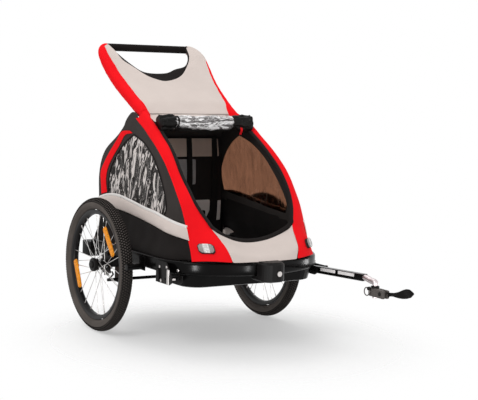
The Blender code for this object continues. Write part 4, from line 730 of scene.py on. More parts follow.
# Bumper band: a deep extruded section bent round the nose
BAND_MID = 0.302
half = [Vector((p.x, p.y, BAND_MID)) for p in band_offset(BAND_THICK / 2)]
half += [Vector((BAND_HALF - BAND_THICK / 2, y, BAND_MID)) for y in (-0.2, -0.1, 0.0, 0.1, BAND_BACK)]
section = mm("12.2 -17, 13 -12, 13 12, 12.2 17.5, 10 21.2, 6.2 23.2, 2.2 23.8, -10 23.8, -12.2 23, -13 20.5, "
             "-13 -20.5, -12.2 -23, -10 -23.8, 2.2 -23.8, 6.2 -23.2, 10 -21.2")
rings = rings_on(mirror(half[::-1])[:-1] + half, section)
band = closed("bumper_extrusion", rings, COATED, "chassis", None, 50)
lugs = [block("pivot_lug", (s * 0.249, -0.463, 0.292), (s * 0.268, -0.443, 0.3225), COATED, "chassis", 0.001)
        for s in (1, -1)]
merged("bumper_band_full", [band] + lugs, COATED, "chassis", "bumper_band", 50)

# Handle: foam grip, red sleeves that run down over the pillars, grey panel and its dark lining
HOOP_TOP = smooth_path(mm("208.5 -80 774, 204.5 -45 788.5") + HANDLE_POINTS + [(0.175, *GRIP), (0.1, *GRIP)],
                       120)
TUBE = [p for p in HOOP_TOP if p.y > -0.075 and p.x > 0.142]
TUBE_FRAMES = frames(TUBE, Vector((0.0, -0.8, 0.5)))
H_PROFILE = smooth_path([(0.0, p[1], p[2]) for p in HANDLE_POINTS] + [(0.0, *GRIP)], 140)
H_RUN = lengths(H_PROFILE)
# By distance behind the axle: distance up the handle, and half width of the hoop
RUN_AT = [(p.y, run) for p, run in zip(H_PROFILE, H_RUN)]
WIDE_AT = [(p.y, p.x) for p in smooth_path(HANDLE_POINTS + [(0.175, *GRIP)], 200)]


def pillar_point(z, f):
    """A place on the red cover at a height, f = 0 at the seam and 1 at the opening's edge."""
    a, b = at_height(SEAM, z), at_height(EDGE, z)
    hi, lo = min(z + 0.012, 0.803), max(z - 0.012, 0.328)
    run = (at_height(SEAM, hi) + at_height(EDGE, hi)) - (at_height(SEAM, lo) + at_height(EDGE, lo))
    normal = (a - b).cross(run).normalized()
    if normal.y > 0:
        normal.negate()
    crown = 0.0095 + 0.017 * clamp((z - 0.735) / 0.065) + 0.01 * clamp((0.46 - z) / 0.12)
    return a.lerp(b, f) + normal * (crown * sin(pi * f) ** 0.8)


def on_tube(i, degrees, lift=0.0):
    """A point of the left cover at a tube station; 0 degrees is its front, 90 its outer side.

    The cover is fullest at the shoulder and close to the tube above."""
    p, (_, side, front) = TUBE[i], TUBE_FRAMES[i]
    a = radians(degrees)
    r = 0.0158 * (1.0 + 0.22 * clamp((0.95 - p.z) / 0.14)) + lift
    return p + side * (r * sin(a)) + front * (r * cos(a) * (1.35 if cos(a) < 0 else 1.0))


def on_handle(x, t, lift=0.0):
    """A point on the handle panel, t metres above the shoulder seam, and the half width there."""
    t = max(0.0, min(t, H_RUN[-1]))
    i = next(i for i in range(len(H_RUN) - 1) if H_RUN[i + 1] >= t)
    a, b = H_PROFILE[i], H_PROFILE[i + 1]
    p = a.lerp(b, (t - H_RUN[i]) / (H_RUN[i + 1] - H_RUN[i]))
    run = (b - a).normalized()
    half_wide = table(WIDE_AT, p.y) - 0.002
    off = 0.003 + 0.0134 * min(1.0, t / 0.07) + lift
    return Vector((max(-half_wide, min(half_wide, x)), p.y - run.z * off, p.z + run.y * off)), half_wide


def panel_rows(cut, lift, count=16, low=0.004):
    """Rows from a cut-out's edge out to the panel's sides and seam."""
    cut = smooth_path(cut, 61)
    top, base = cut[0].y, on_handle(9.0, low)[1]
    rim = [(-9.0, t) for t in steps(top, 0.0, 20)] + [(x, low) for x in steps(-base, base, 20)[1:-1]]
    rim += [(9.0, t) for t in steps(0.0, top, 20)]
    rows = []
    for k in range(count + 1):
        row = []
        for (cx, ct, _), (rx, rt) in zip(cut, rim):
            rt = max(rt, low)
            wide = on_handle(9.0, rt)[1]
            rx = max(-wide, min(wide, rx))
            f = (k / count) ** 1.1
            row.append(on_handle(cx + (rx - cx) * f, ct + (rt - ct) * f, lift)[0])
        rows.append(row)
    return rows


def panel_fold(p):
    """Slack across the grey panel: a long crease below the cut-out and puckers near the sleeves."""
    run = (p.y + 0.012) * 0.87 + (p.z - 0.811) * 0.49
    crease = -0.003 * exp(-((run - 0.205 - 0.012 * cos(p.x * 14)) / 0.006) ** 2)
    crease *= 1.0 - clamp((abs(p.x) - 0.15) / 0.03)
    return crease + ruffle(p, (14, 22, 22), 0.0026, 5.0) * (0.4 + 0.5 * clamp((abs(p.x) - 0.09) / 0.1))


grip_path = []
for x in steps(-0.19, 0.184, 28):
    dip = 0.0015 * max(0.0, (abs(x) - 0.175) / 0.02)
    grip_path.append((x, GRIP[0] - dip, GRIP[1] - dip))
bar("foam_grip", grip_path, 0.0148, FOAM, "main_frame", 32, "handle_grip")
# Cut-outs of the grey panel and its lining: across, and up from the seam
CUT = mm("-186 431, -178 408, -171 387, -160 345, -141 321, -121 300, -98 272, -71 243, -36 225, -5 222, "
         "36 232, 83 262, 125 312, 150 350, 164 388, 172 431")
DARK_CUT = mm("-180 431, -162 380, -125 325, -78 279, 11 276, 68 301, 118 318, 146 352, 159 390, 166 431")
BEHIND_PANEL = (0, 0.3, 0.6)
sewn("grey_handle_panel", panel_rows(CUT, 0.0), GREY, "main_frame", "handle_panel", panel_fold, BEHIND_PANEL,
     0.0014)
sewn("dark_handle_lining", panel_rows(DARK_CUT, -0.006, 12), BLACK, "main_frame", None, None, BEHIND_PANEL,
     0.0014)
START, TURN, BEND = [next(i for i, p in enumerate(TUBE) if p.z > z) for z in (0.865, 1.0, 1.036)]
LAST = max(i for i, p in enumerate(TUBE) if p.x > 0.1765)
# How far the right sleeve's cloth reaches in over the grey panel, by distance up the handle
FLAP = mm("0 20, 32 19.5, 104 16, 185 20.5, 260 22.5, 317 19.5, 357 15, 388 10.5, 412 5")
# How far the pillar's red cloth reaches back over the side wall, by height
BEHIND = mm("0 0, 640 0, 662 3, 700 15, 732 30, 761 34, 781 27, 803 12")


def wrap_row(i, mix, low, high):
    """Grey cloth at a tube station up to an angle.

    It comes from the panel or, as mix goes to 1, from under the tube."""
    if mix >= 1.0:
        return [on_tube(i, a, 0.0012) for a in steps(low, high, 13)]
    inside = on_tube(i, -20, 0.0012) - TUBE_FRAMES[i][1] * 0.02
    row = []
    for k in range(5):
        across = inside.lerp(on_tube(i, -42, 0.0012), k / 5)
        row.append(across.lerp(on_tube(i, low + (-42 - low) * k / 5, 0.0012), mix))
    return row + [on_tube(i, a, 0.0012) for a in steps(-42, high, 8)]


for s, word in SIDES:
    rows = []
    for i, p in enumerate(TUBE):
        if p.z < 1.0 or p.x > (0.183 if s > 0 else 0.184):
            shut = 0.62 + 0.38 * min(1.0, i / 12)
            row = [p + (on_tube(i, 15 * k) - p) * shut for k in range(24)]
            row = [q + (q - p).normalized() * ruffle(q, (60, 60, 60), 0.0007, 3.1) for q in row]
            rows.append(row if s > 0 else mirror(row))
    closed(f"red_sleeve_{word}", rows, RED, "main_frame", f"handle_sleeve_{word}")
    rows = []
    for i, p in enumerate(TUBE):
        if s > 0 and START <= i <= LAST:
            g = clamp((i - TURN) / (LAST - TURN))
            rise = clamp((p.z - 0.865) / 0.135)
            high = -38 + 44 * rise + 74 * min(1.0, g * 1.9) + 70 * max(0.0, g - 0.6) / 0.4
            rows.append(wrap_row(i, clamp((g - 0.45) / 0.25), -165, high))
        elif s < 0 and i >= BEND and p.x >= 0.149:
            under = 1.0 if p.x < 0.19 else clamp((p.z - 1.048) / 0.01)
            rows.append(mirror(wrap_row(i, under, -150, -8 - 126 * max(0.0, 0.186 - p.x) / 0.039)))
    sewn(f"grey_handle_edge_{word}", rows, GREY, "main_frame", None,
         lambda p: ruffle(p, (30, 30, 30), 0.0006, 2.0),
         (0, 0.6, 0.7), 0.001)
    if s < 0:
        rows = []
        for i, p in enumerate(TUBE):
            t = table(RUN_AT, p.y)
            if p.y >= -0.012 and t <= 0.41:
                row = [on_tube(i, a, 0.0013) for a in (70, 50, 30, 12, -4)]
                row += [on_handle(table(WIDE_AT, p.y) - reach, t, 0.0024)[0]
                        for reach in steps(0.004, table(FLAP, t), 4)[1:]]
                rows.append(mirror(row))
        sewn("red_sleeve_flap_right", rows, RED, "main_frame", None, panel_fold, BEHIND_PANEL, LINING_THICK)
    rows = []
    for z in steps(BAND_TOP, 0.7985, 44):
        edge, behind = at_height(SEAM, z).y, table(BEHIND, z)
        row = [on_wall(1, (edge + behind * f, z), 0.0034) for f in (1.0, 0.7, 0.35)]
        row += [pillar_point(z, f) for f in steps(0.012, 0.99, 12)]
        rows.append(row if s > 0 else mirror(row))
    sewn(f"red_pillar_{word}", rows, RED, "main_frame", f"pillar_cover_{word}",
         lambda p: ruffle(p, (9, 9, 7), 0.0028, 1.3) + ruffle(p, (30, 16, 10), 0.001, 4.0))

# Grey shoulder below the seam, down to the rolled rain cover
rows = []
for t in steps(0.0, 1.0, 10):
    z = 0.8115 - 0.0215 * t
    half_wide = at_height(EDGE, min(z, 0.803)).x + 0.01
    rows.append([Vector((half_wide * f, -0.012 - 0.078 * t, z + 0.002 * sin(pi * (f + 1) / 2)))
                 for f in steps(-1, 1, 20)])
sewn("grey_shoulder_panel", rows, GREY, "main_frame", None, lambda p: ruffle(p, (12, 14, 14), 0.0016, 2.0))
bar("shoulder_seam_piping", [(x, -0.012, 0.8135) for x in steps(-0.176, 0.176, 20)], 0.0012, GREY,
    "main_frame", 8)

# Side walls: charcoal cloth round a smoked window, with its zip, stripe, piping and red strip
outer = smooth_path(BACK_OUTLINE, 60)[:-1] + even([(*p, 0.0) for p in HEM_OUTLINE], 44)[:-1]
outer += even([(p.y + 0.003, p.z, 0.0) for p in SEAM if p.z > 0.3295], 66)[:-1]
inner = smooth_path(WINDOW_BACK, 60)[:-1] + even([(*p, 0.0) for p in WINDOW_LOW], 44)[:-1]
inner += smooth_path(WINDOW_FRONT, 66)[:-1]
pane_centre = sum(inner, Vector()) / len(inner)


def near(outline, y, z):
    """Distance from (y, z) to the nearest of an outline's points."""
    here = Vector((y, z, 0.0))
    return min((here - q).length for q in outline[::3])


def wall_fold(p):
    """Loose folds of the side wall, deeper along its hem and none where it is sewn."""
    hem = max(0.0, 1.0 - abs(p.z - 0.4) / 0.1)
    fold = ruffle(p, (5, 10, 5), 0.0035, 8.0) + hem * ruffle(p, (5, 9, 3), 0.0025, 4.0)
    held = min(1.0, near(outer, p.y, p.z) / 0.035) * min(1.0, 0.15 + near(inner, p.y, p.z) / 0.025)
    return fold * held


def pane_fold(p):
    """Creases of the window's film, none at its edge."""
    crumple = ruffle(p, (8, 40, 11), 0.0034, 0.7) + ruffle(p, (8, 20, 20), 0.0028, 9.0)
    return crumple * min(1.0, near(inner, p.y, p.z) / 0.025)


# Lower edge of the stripe, from the front
STRIPE_LOW = [row[2:] for row in STRIPE[::-1]]
# Section of the padded stripe: (across it, how far it stands off the wall)
PADDING = ((0.0, 0.0), (0.25, 0.0), (0.5, 0.0), (0.75, 0.0), (1.0, 0.0), (1.0, 0.0012), (0.96, 0.0042),
           (0.85, 0.0068), (0.7, 0.0082), (0.55, 0.0088), (0.4, 0.0086), (0.25, 0.0078), (0.12, 0.0058),
           (0.04, 0.0032), (0.0, 0.0012))
for s, word in SIDES:
    rows = [[on_wall(s, o.lerp(i, f)) for o, i in zip(outer, inner)] for f in steps(0, 1, 9)]
    wall = sewn(f"charcoal_side_{word}", rows, CHARCOAL, "chassis", f"side_wall_{word}", wall_fold, wrap=True)
    wall.data.materials.append(BLACK)
    for face in wall.data.polygons:
        edge = table(STRIPE_LOW, face.center.y - AXLE_Y)
        face.material_index = 1 if face.center.z < edge + 0.012 else 0
    rows = [[on_wall(s, p + (p - pane_centre).normalized() * 0.002, -0.0008) for p in inner]]
    rows += [[on_wall(s, pane_centre + (p - pane_centre) * f, -0.0008) for p in inner]
             for f in steps(1.0, 0.03, 25)[1:]]
    pane = quilt(rows, True)
    pane.verts.ensure_lookup_table()
    pane.faces.new(pane.verts[-len(inner):])
    look_away(pane, (0, -0.1, 0.5))
    push(pane, pane_fold)
    pane = piece(f"smoked_window_{word}", pane, SMOKED, "chassis", None, 180, outward=False)
    pane.data.materials.append(SMOKED_INSIDE)
    modify(pane, "SOLIDIFY", thickness=0.0009, offset=-1.0, material_offset=1, material_offset_rim=1)
    settle(pane, "chassis", f"side_window_{word}", angle=60)
    ring = [on_wall(s, p + (p - pane_centre).normalized() * 0.0045, 0.0012) for p in inner]
    closed(f"window_zip_tape_{word}",
           rings_on(ring, mm("3.6 -.8, 3.6 .6, 1.4 1.4, -1.4 1.4, -3.6 .6, -3.6 -.8"), (s, 0, 0)), BLACK,
           "chassis", None, 50, loop=True)
    # Padded stripe with its reflective piping
    tops, lows = two_edges(STRIPE, 70)
    rings = []
    for top, low in zip(tops, lows):
        ring = []
        for f, rise in PADDING:
            q = top.lerp(low, f)
            seat = 0.0007 + 0.0016 * clamp((-0.27 - q[0]) / 0.06)
            sag = ruffle(Vector((0, q[0], q[1])), (1, 26, 30), 0.0016, 6.0) if rise > 0.003 else 0.0
            ring.append(on_wall(s, q, seat + (rise + sag) * (0.2 + 0.8 * clamp((q[0] + 0.46) / 0.07))))
        rings.append(ring)
    stripe = closed(f"padded_stripe_{word}", rings, GREY, "chassis", f"side_stripe_{word}")
    path = [on_wall(s, p, 0.004 * min(1.0, 0.3 + max(0.0, p[0] + 0.44) / 0.06)) + Vector((0, 0, 0.0005))
            for p in tops]
    closed(f"reflective_piping_{word}",
           rings_on(path, mm("5.2 -2.2, 5.2 1, 3 3, -3 3, -5.2 1, -5.2 -2.2"), (s, 0, 0)),
           PIPING, "chassis")
    rows = [[on_wall(s, a.lerp(b, f), 0.0032) for f in steps(0, 1, 5)]
            for a, b in zip(*two_edges(REAR_STRIP, 50))]
    sewn(f"red_rear_strip_{word}", rows, RED, "chassis", f"rear_strip_{word}",
         lambda p: wall_fold(p) + ruffle(p, (6, 20, 20), 0.0006, 2.2))

# Front panel below the opening
ex = at_height(EDGE, 0.44)


def opening_low(u, inset, y, z, rise):
    """The opening's lower edge, u = -1 to 1 across it."""
    return Vector((u * (ex.x - inset), y + (ex.y + 0.4645) * abs(u) ** 2.2, z + rise * abs(u) ** 2.2))


top_row = [opening_low(u, 0.0008, -0.4645, 0.384, 0.056) for u in steps(-1, 1, 40)]
low_half = at_height(EDGE, 0.327).x - 0.0008
low_row = [Vector((x, BAND_FRONT + 0.004 + 0.0145 * (x / 0.143) ** 2, BAND_TOP))
           for x in steps(-low_half, low_half, 40)]
rows = []
for v in steps(0, 1, 14):
    e = at_height(EDGE, BAND_TOP + 0.1132 * v)
    ends = Vector((-(e.x + 0.002), e.y, e.z)), Vector((e.x + 0.002, e.y, e.z))
    rows.append([low.lerp(top, v) + ends[0].lerp(ends[1], u)
                 - low_row[0].lerp(low_row[-1], u).lerp(top_row[0].lerp(top_row[-1], u), v)
                 for low, top, u in zip(low_row, top_row, steps(0, 1, 40))])
sewn("grey_front_panel", rows, GREY, "chassis", "front_panel", lambda p: ruffle(p, (8, 8, 9), 0.003, 3.0))

# Roof behind the seam and the back of the cabin
line = smooth_path(mm("-85 778, -55 787, -14 793.5, 6 794, 30 799, 52 798.5, 70 788")
                   + [(y - 0.001, z - 0.001) for y, z in BACK_OUTLINE[7:]], 60)
rows = []
for y, z, _ in line:
    wide = wall_x(y, z) - 0.0004 if y > 0.02 else 0.176 + 0.03 * max(0.0, (y + 0.014) / 0.034)
    if z < 0.42:
        wide -= 0.012 * min(1.0, (0.42 - z) / 0.035)
    rows.append([Vector((wide * u, y - 0.004 * sin(pi * (u + 1) / 2) ** 2, z)) for u in steps(-1, 1, 28)])
sewn("charcoal_roof_and_back", rows, CHARCOAL, "chassis", "roof_and_back",
     lambda p: ruffle(p, (7, 8, 8), 0.0035, 6.0))
for s, word in SIDES:
    rows = [[on_wall(s, q, -lift) - Vector((0, 0.0012, 0)) for lift in steps(0.001, 0.025, 4)]
            for q in line if q[1] < 0.425]
    sewn(f"charcoal_corner_gusset_{word}", rows, CHARCOAL, "chassis", thick=LINING_THICK)

# Black binding round the opening
arc = [pillar_point(z, 0.985) + Vector((-0.005, -0.001, 0)) for z in steps(0.792, 0.441, 69)]
low_arc = [opening_low(1 - i / 20.5, 0.002, -0.4665, 0.3855, 0.056) for i in range(1, 41)]
left_arc = smooth_path(arc, 80)
ring = left_arc + [p for p in low_arc if abs(p.x) < 0.16] + mirror(left_arc[::-1])
ring = smooth_path(ring[::2] + [ring[-1]], 260)
closed("opening_binding",
       rings_on(ring, [(0.0085 * cos(a), 0.0038 * sin(a)) for a in angles(10)], (0, -1, 0.3)), BLACK,
       "main_frame")

# Rolled rain cover: clear film wound in a loose roll, with dark cloth ends and elastic loops
ROLL_Y, ROLL_Z, ROLL_RAD, ROLL_HALF = -0.13, 0.79, 0.0255, 0.202
LOOPS = (-0.128, 0.118)


def on_roll(x, a, r):
    return Vector((x, ROLL_Y + r * cos(a), ROLL_Z + r * sin(a)))


def roll_radius(x, a):
    """The roll's own radius: drawn in at its loops, sagging between them and ridged."""
    squeeze = sum(exp(-((x - at) / 0.01) ** 2) for at in LOOPS)
    slack = 1 - sum(exp(-((x - at) / 0.03) ** 2) for at in LOOPS)
    r = 1.0 - 0.14 * squeeze + 0.03 * sin(3 * a + 9 * x) + 0.022 * sin(5 * a - 21 * x + 1.0)
    q = Vector((x * 26, cos(a) * 1.4, sin(a) * 1.4))
    ridge = 0.09 * (0.4 - abs(noise.noise(Vector((x * 75, cos(a) * 3.0, sin(a) * 3.0 + x * 20)))))
    return ROLL_RAD * (r + 0.2 * max(0.0, -sin(a)) * slack + ridge + 0.13 * noise.noise(q)
                       + 0.05 * noise.noise(q * 2.3))


def gather(x, a, size):
    """Folds of cloth drawn together round the roll."""
    return size * (noise.noise(Vector((x * 40, cos(a) * 3.6, sin(a) * 3.6))) + 0.6 * sin(8 * a + 40 * x))


for name, x0, x1, grow, mat, count, stands_for, size in (
        ("clear_cover_roll", -0.146, 0.124, -0.0006, CLEAR, 150, "rain_cover_roll", 0.0),
        ("roll_end_right", -ROLL_HALF, -0.134, 0.0018, SATIN, 36, None, 0.003),
        ("roll_end_left", 0.111, ROLL_HALF, 0.0018, SATIN, 40, None, 0.003)):
    rings = []
    for x in steps(x0, x1, count):
        end = min(1.0, 0.8 + 0.2 * min(x - x0, x1 - x) / 0.004)
        rings.append([on_roll(x, a, (roll_radius(x, a) + grow + gather(x, a, size)) * end)
                      for a in angles(88)])
    closed(name, rings, mat, "main_frame", stands_for, 70)
# Hem of the dark cloth that the film is wound with, showing along the underside
rows = []
for x in steps(-0.136, 0.114, 60):
    start = 236 + 26 * noise.noise(Vector((x * 30, 0, 3)))
    rows.append([on_roll(x, a, roll_radius(x, a) + 0.0012)
                 for a in [radians(start + 6 * k) for k in range(12)]])
sewn("roll_dark_hem", rows, BLACK, "main_frame", middle=(0, ROLL_Y, ROLL_Z), thick=LINING_THICK)
for x, word in zip(LOOPS, ("right", "left")):
    rings = []
    for a in angles(40):
        p = on_roll(x + 0.002 * sin(a), a, 0.024)
        out = (p - Vector((x, ROLL_Y, ROLL_Z))).normalized()
        rings.append([p + Vector((side, 0, 0)) + out * lift for side, lift in mm("-3 -1, -3 .6, 3 .6, 3 -1")])
    closed(f"elastic_loop_{word}", rings, BLACK, "main_frame", None, 50, loop=True)
tab = [Vector((0.148, -0.15 - 0.004 * sin(k * 0.5), 0.772 - 0.003 * k)) for k in range(10)]
closed("red_pull_tab", rings_on(tab, strip(0.0045, 0.0008), (0, -1, 0.2)), PULL_RED, "main_frame", None, 40)

# Corner reflectors: a white lens in a grey eight-sided frame
for s, word in SIDES:
    z0 = 0.367
    p0 = pillar_point(z0, 0.42)
    du = (pillar_point(z0, 0.52) - pillar_point(z0, 0.32)).normalized()
    dz = (pillar_point(z0 + 0.012, 0.42) - pillar_point(z0 - 0.012, 0.42)).normalized()
    out = du.cross(dz)
    if out.y > 0:
        out.negate()
    cover = [pillar_point(z, f) - p0 for z in (0.348, 0.355, 0.367, 0.38, 0.388)
             for f in (0.12, 0.2, 0.3, 0.42, 0.55, 0.65, 0.72)]
    seat = p0 + out * (max(p.dot(out) for p in cover if abs(p.dot(du)) < 0.036) - 0.003)
    corners = mm("-21 -18.5, 21 -18.5, 30 -10, 30 10, 21 18.5, -21 18.5, -30 10, -30 -10")
    centre = mm("-10.5 -18, 10.5 -18, 11.2 -10, 11.2 10, 10.5 18, -10.5 18, -11.2 10, -11.2 -10")
    for tag, mat, shape, ladder, stands_for in (
            ("frame", SEAL, corners, ((0.0, 1.0), (0.007, 1.0), (0.008, 0.97)), f"corner_reflector_{word}"),
            ("sides", LENS_GREY, corners, ((0.0, 0.9), (0.0095, 0.9), (0.0108, 0.82)), None),
            ("lens", WHITE_LENS, centre, ((0.0, 1.0), (0.011, 0.96), (0.0118, 0.9)), None)):
        rings = [[seat + du * (u * k) + dz * (v * k) + out * rise for u, v in shape] for rise, k in ladder]
        closed(f"corner_reflector_{tag}_{word}", rings if s > 0 else [mirror(r) for r in rings], mat,
               "main_frame", stands_for, 30)

# Seat: padded bench and back with a grey-brown band, light lower panels and webbing harnesses
FLOOR_TOP = 0.2842
BENCH_HALF = 0.233
IN_SEAT = (0, 0.2, 0.5)
# Distance between the upright seams of the seat's padding; the harnesses' middles are as far from the centre
SEAM_APART = 0.115


def back_y(z):
    """The seat back's y at a height: leaning, and hollowed a little."""
    return 0.098 + 0.008 * (z - 0.34) / 0.4 - 0.012 * sin(pi * max(0.0, z - 0.34) / 0.4)


def back_half(z):
    return 0.2245 - 0.06 * (z - 0.34)


def puff(x):
    """How far the padding stands out between its seams."""
    return 0.0045 * abs(sin(pi * x / SEAM_APART)) ** 0.6


rings = []
for v in steps(0, 1, 24):
    y = -0.148 + 0.238 * v
    ring = []
    for x in steps(-BENCH_HALF, BENCH_HALF, 48):
        side = max(0.0, min(1.0, (BENCH_HALF - abs(x)) / 0.02)) ** 0.5
        dish = 0.005 * cos(2 * pi * x / 0.235)
        crown = (0.029 - dish) * max(0.0, sin(pi * v)) ** 0.35 * (0.35 + 0.65 * side)
        ring.append(Vector((x, y, 0.3005 + crown)))
    rings.append(ring + [Vector((x, y, FLOOR_TOP + 0.0012)) for x in steps(BENCH_HALF, -BENCH_HALF, 48)])
closed("seat_bench_pad", rings, BLACK, "chassis", "seat_bench")
rings = []
for k, z in enumerate(steps(FLOOR_TOP + 0.002, 0.7165, 44)):
    wide, end = back_half(z), min(1.0, min(k, 44 - k) / 2.5) ** 0.5
    seam = 0.004 * exp(-((z - 0.64) / 0.004) ** 2)
    rings.append([Vector((x, back_y(z) - puff(x) * end + seam, z)) for x in steps(-wide, wide, 40)]
                 + [Vector((x, back_y(z) + 0.006 + 0.005 * end, z)) for x in steps(wide, -wide, 40)])
closed("seat_back_pad", rings, BLACK, "chassis", "seat_back")
rows = [[Vector((x, back_y(z) - 0.0052 - puff(x), z))
         for x in steps(0.006 - back_half(z), back_half(z) - 0.006, 40)]
        for z in steps(0.642, 0.7145, 6)]
sewn("seat_head_band", rows, TAUPE, "chassis", middle=IN_SEAT, thick=LINING_THICK)
# Edges of the light patch on the side wall beside the bench
PATCH_HIGH = mm("197 322, 187 335, 164 343, 144 344, 125 340, 107 330")
PATCH_LOW = mm("197 319, 187 311, 173 309, 154 312, 133 321, 107 329")
for s, word in SIDES:
    for tag, x0, x1, z0, z1, cloth in (("inner", 0.082, 0.16, 0.385, 0.47, PANEL),
                                       ("outer", 0.196, 0.2125, 0.385, 0.466, PANEL),
                                       ("middle", 0.004, 0.092, 0.532, 0.633, SLATE)):
        rows = [[Vector((s * x, back_y(z) - 0.0055 - puff(x), z)) for x in steps(x0, x1, 10)]
                for z in steps(z0, z1, 8)]
        sewn(f"light_panel_{tag}_{word}", rows, cloth, "chassis", middle=IN_SEAT, thick=LINING_THICK)
    rows = [[on_wall(s, Vector(a).lerp(Vector(b), f), -0.006) for a, b in zip(PATCH_LOW, PATCH_HIGH)]
            for f in steps(0, 1, 5)]
    sewn(f"light_panel_side_{word}", rows, GREY, "chassis", middle=(0, 0.1, 0.3), thick=LINING_THICK)
    paths = [[Vector((s * (x + (SEAM_APART - x) * max(0.0, (k - 24) / 8) ** 1.5 * 0.62),
                      back_y(z) - 0.0085 - 0.003 * sin(pi * k / 32), z)) for k, z in
              enumerate(steps(0.7205, 0.362, 32))] for x in (0.062, 0.178)]
    paths.append([Vector((s * SEAM_APART, back_y(0.36) - 0.0105 - 0.004 * sin(k), 0.395 - 0.0075 * k))
                  for k in range(8)])
    webs = [closed("web", rings_on(path, strip(0.0125, 0.0008), (0, -1, 0)), WEBBING, "chassis", None, 40)
            for path in paths]
    merged(f"harness_webbing_{word}", webs, WEBBING, "chassis", f"harness_{word}", 50)
    for name, wide, y0, y1, z0, z1, mat, bevel, turns in (
            ("harness_buckle", 0.021, 0.0215, 0.0095, 0.387, 0.428, NYLON, 0.004, 3),
            ("buckle_button", 0.009, 0.0232, 0.0212, 0.398, 0.417, PULL_RED, 0.0008, 2)):
        block(f"{name}_{word}", (s * SEAM_APART - wide, back_y(0.4) - y0, z0),
              (s * SEAM_APART + wide, back_y(0.4) - y1, z1), mat, "chassis", bevel, turns)

# Tow gear: ring and pin at the hitch block, and the safety strap
ring = [Vector((0.2835, 0.014 * cos(a) - 0.789, 0.014 * sin(a) + 0.236)) for a in angles(36)]
closed("hitch_pin_ring", rings_on(ring, circle(0.002, 10), (1, 0, 0)), DARK_STEEL, "hitch", None, 40,
       loop=True)
stud("hitch_pin_knob", (0.28, -0.7985, 0.248), (0.29, -0.7985, 0.248), 0.0065, SEAL, "hitch", 20, 0.001)
# A thin black disc on the block's side stands for the hole there: painted shade of the hole
stud("hitch_hole_bush", (0.2885, -0.853, 0.236), (0.2893, -0.853, 0.236), 0.0075, SEAL, "hitch")
# The strap's middle line and its width
STRAP = mm("-866 234.5 20, -880 238 13, -894 240.2 13, -909 242 19, -924 244.5 26, -940 248 32, -960 253 35, "
           "-982 258.5 30, -1006 261.5 6")
STRAP_HALF_THICK = 0.0011
rings = []
for i, p in enumerate(smooth_path([(0.312, y, z) for y, z, _ in STRAP], 40)):
    wide = table([(k, row[2]) for k, row in enumerate(STRAP)], i / 39 * (len(STRAP) - 1))
    lean, crease = radians(18 * sin(i * 0.19 - 1.2)), 0.0035 * sin(i * 0.33)
    across, thin = Vector((sin(lean), 0.0, cos(lean))), Vector((cos(lean), 0.0, -sin(lean)))
    rings.append([p + across * (wide / 2 * u * way) + thin * (crease * (1 - u * u) - way * STRAP_HALF_THICK)
                  for way in (1, -1) for u in steps(-1, 1, 4)])
closed("safety_strap_webbing", rings, WEBBING, "hitch", "safety_strap", 50)

# Blank white labels on the arm's inner side, and the bent neck with its spindle
for tag, y0, y1 in (("front", -0.606, -0.702), ("rear", -0.5, -0.59)):
    outline = []
    for v, w in ((0.02, 0.0), (0.98, 0.0), (1.0, 0.1), (1.0, 0.9), (0.98, 1.0), (0.02, 1.0), (0.0, 0.9),
                 (0.0, 0.1)):
        y = y0 + (y1 - y0) * v
        outline.append((y, 0.262 + (-0.44 - y) / 0.307 * 0.015 - 0.0012 + 0.0114 * w))
    closed(f"blank_label_{tag}", [[Vector((x, y, z)) for y, z in outline] for x in (0.2927, 0.2921)], LABEL,
           "tow_arm", None, 30)
NECK_X, NECK_END = 0.305, -0.808
neck = smooth_path([(NECK_X, y, z) for y, z in mm("-744 276.8, -754 277.1, -768 275.2, -782 272.2, -802 270, "
                                                  "-808 266, -808 261")], 40)
merged("bent_neck_full", [
    bar("bent_neck", neck, 0.0112, ALUMINIUM, "tow_arm", 28),
    stud("spindle", (NECK_X, NECK_END, 0.264), (NECK_X, NECK_END, 0.2175), 0.005, ALUMINIUM, "tow_arm", 28),
    stud("spindle_head", (NECK_X, NECK_END, 0.219), (NECK_X, NECK_END, 0.2135), 0.0085, ALUMINIUM, "tow_arm",
         28, 0.0008)], ALUMINIUM, "tow_arm", "tow_neck")

# Bolts, caps, pull and reflector details
at_band = min(range(1, len(BAND) - 1), key=lambda i: abs(BAND[i].x - 0.296))
for s, word in SIDES:
    face = s * (BAND_HALF + 0.0044)
    for y, z, r in ((-0.404, 0.301, 0.005), (-0.453, 0.306, 0.0045),
                    (-0.4145, 0.254, 0.0055))[0 if s < 0 else 2:]:
        stud(f"bolt_head_{word}_{round(-y * 1000)}", (face, y, z), (face + s * 0.003, y, z), r, ZINC,
             "chassis", 20, 0.001)
    run = (BAND[at_band + 1] - BAND[at_band - 1]).normalized()
    away, seat = Vector((s * run.y, -run.x, 0.0)), Vector((s * BAND[at_band].x, BAND[at_band].y, 0.293))
    stud(f"band_bolt_{word}", seat - away * 0.002, seat + away * 0.003, 0.005, ZINC, "chassis", 20, 0.001)
    stud(f"guard_cap_{word}", (s * 0.393, -0.27, 0.281), (s * 0.3955, -0.27, 0.281), 0.0112, SEAL, "chassis",
         32, 0.0008)
    rivet = s * (BAND_HALF - 0.006)
    stud(f"band_rivet_{word}", (rivet, -0.02, 0.3265), (rivet, -0.02, 0.3275), 0.0035, ZINC, "chassis", 16)
    bar(f"zip_puller_{word}", [on_wall(s, (0.03, 0.505 - 0.004 * k), 0.0035 + 0.001 * sin(k))
                               - Vector((0, 0, 0.0005 * k)) for k in range(7)], 0.0022, NYLON, "chassis", 10)
stud("valve_right", (-WHEEL_X, -0.048, TYRE_R + 0.183), (-WHEEL_X, -0.04, TYRE_R + 0.148), 0.003, SEAL,
     "wheel_right", 12)

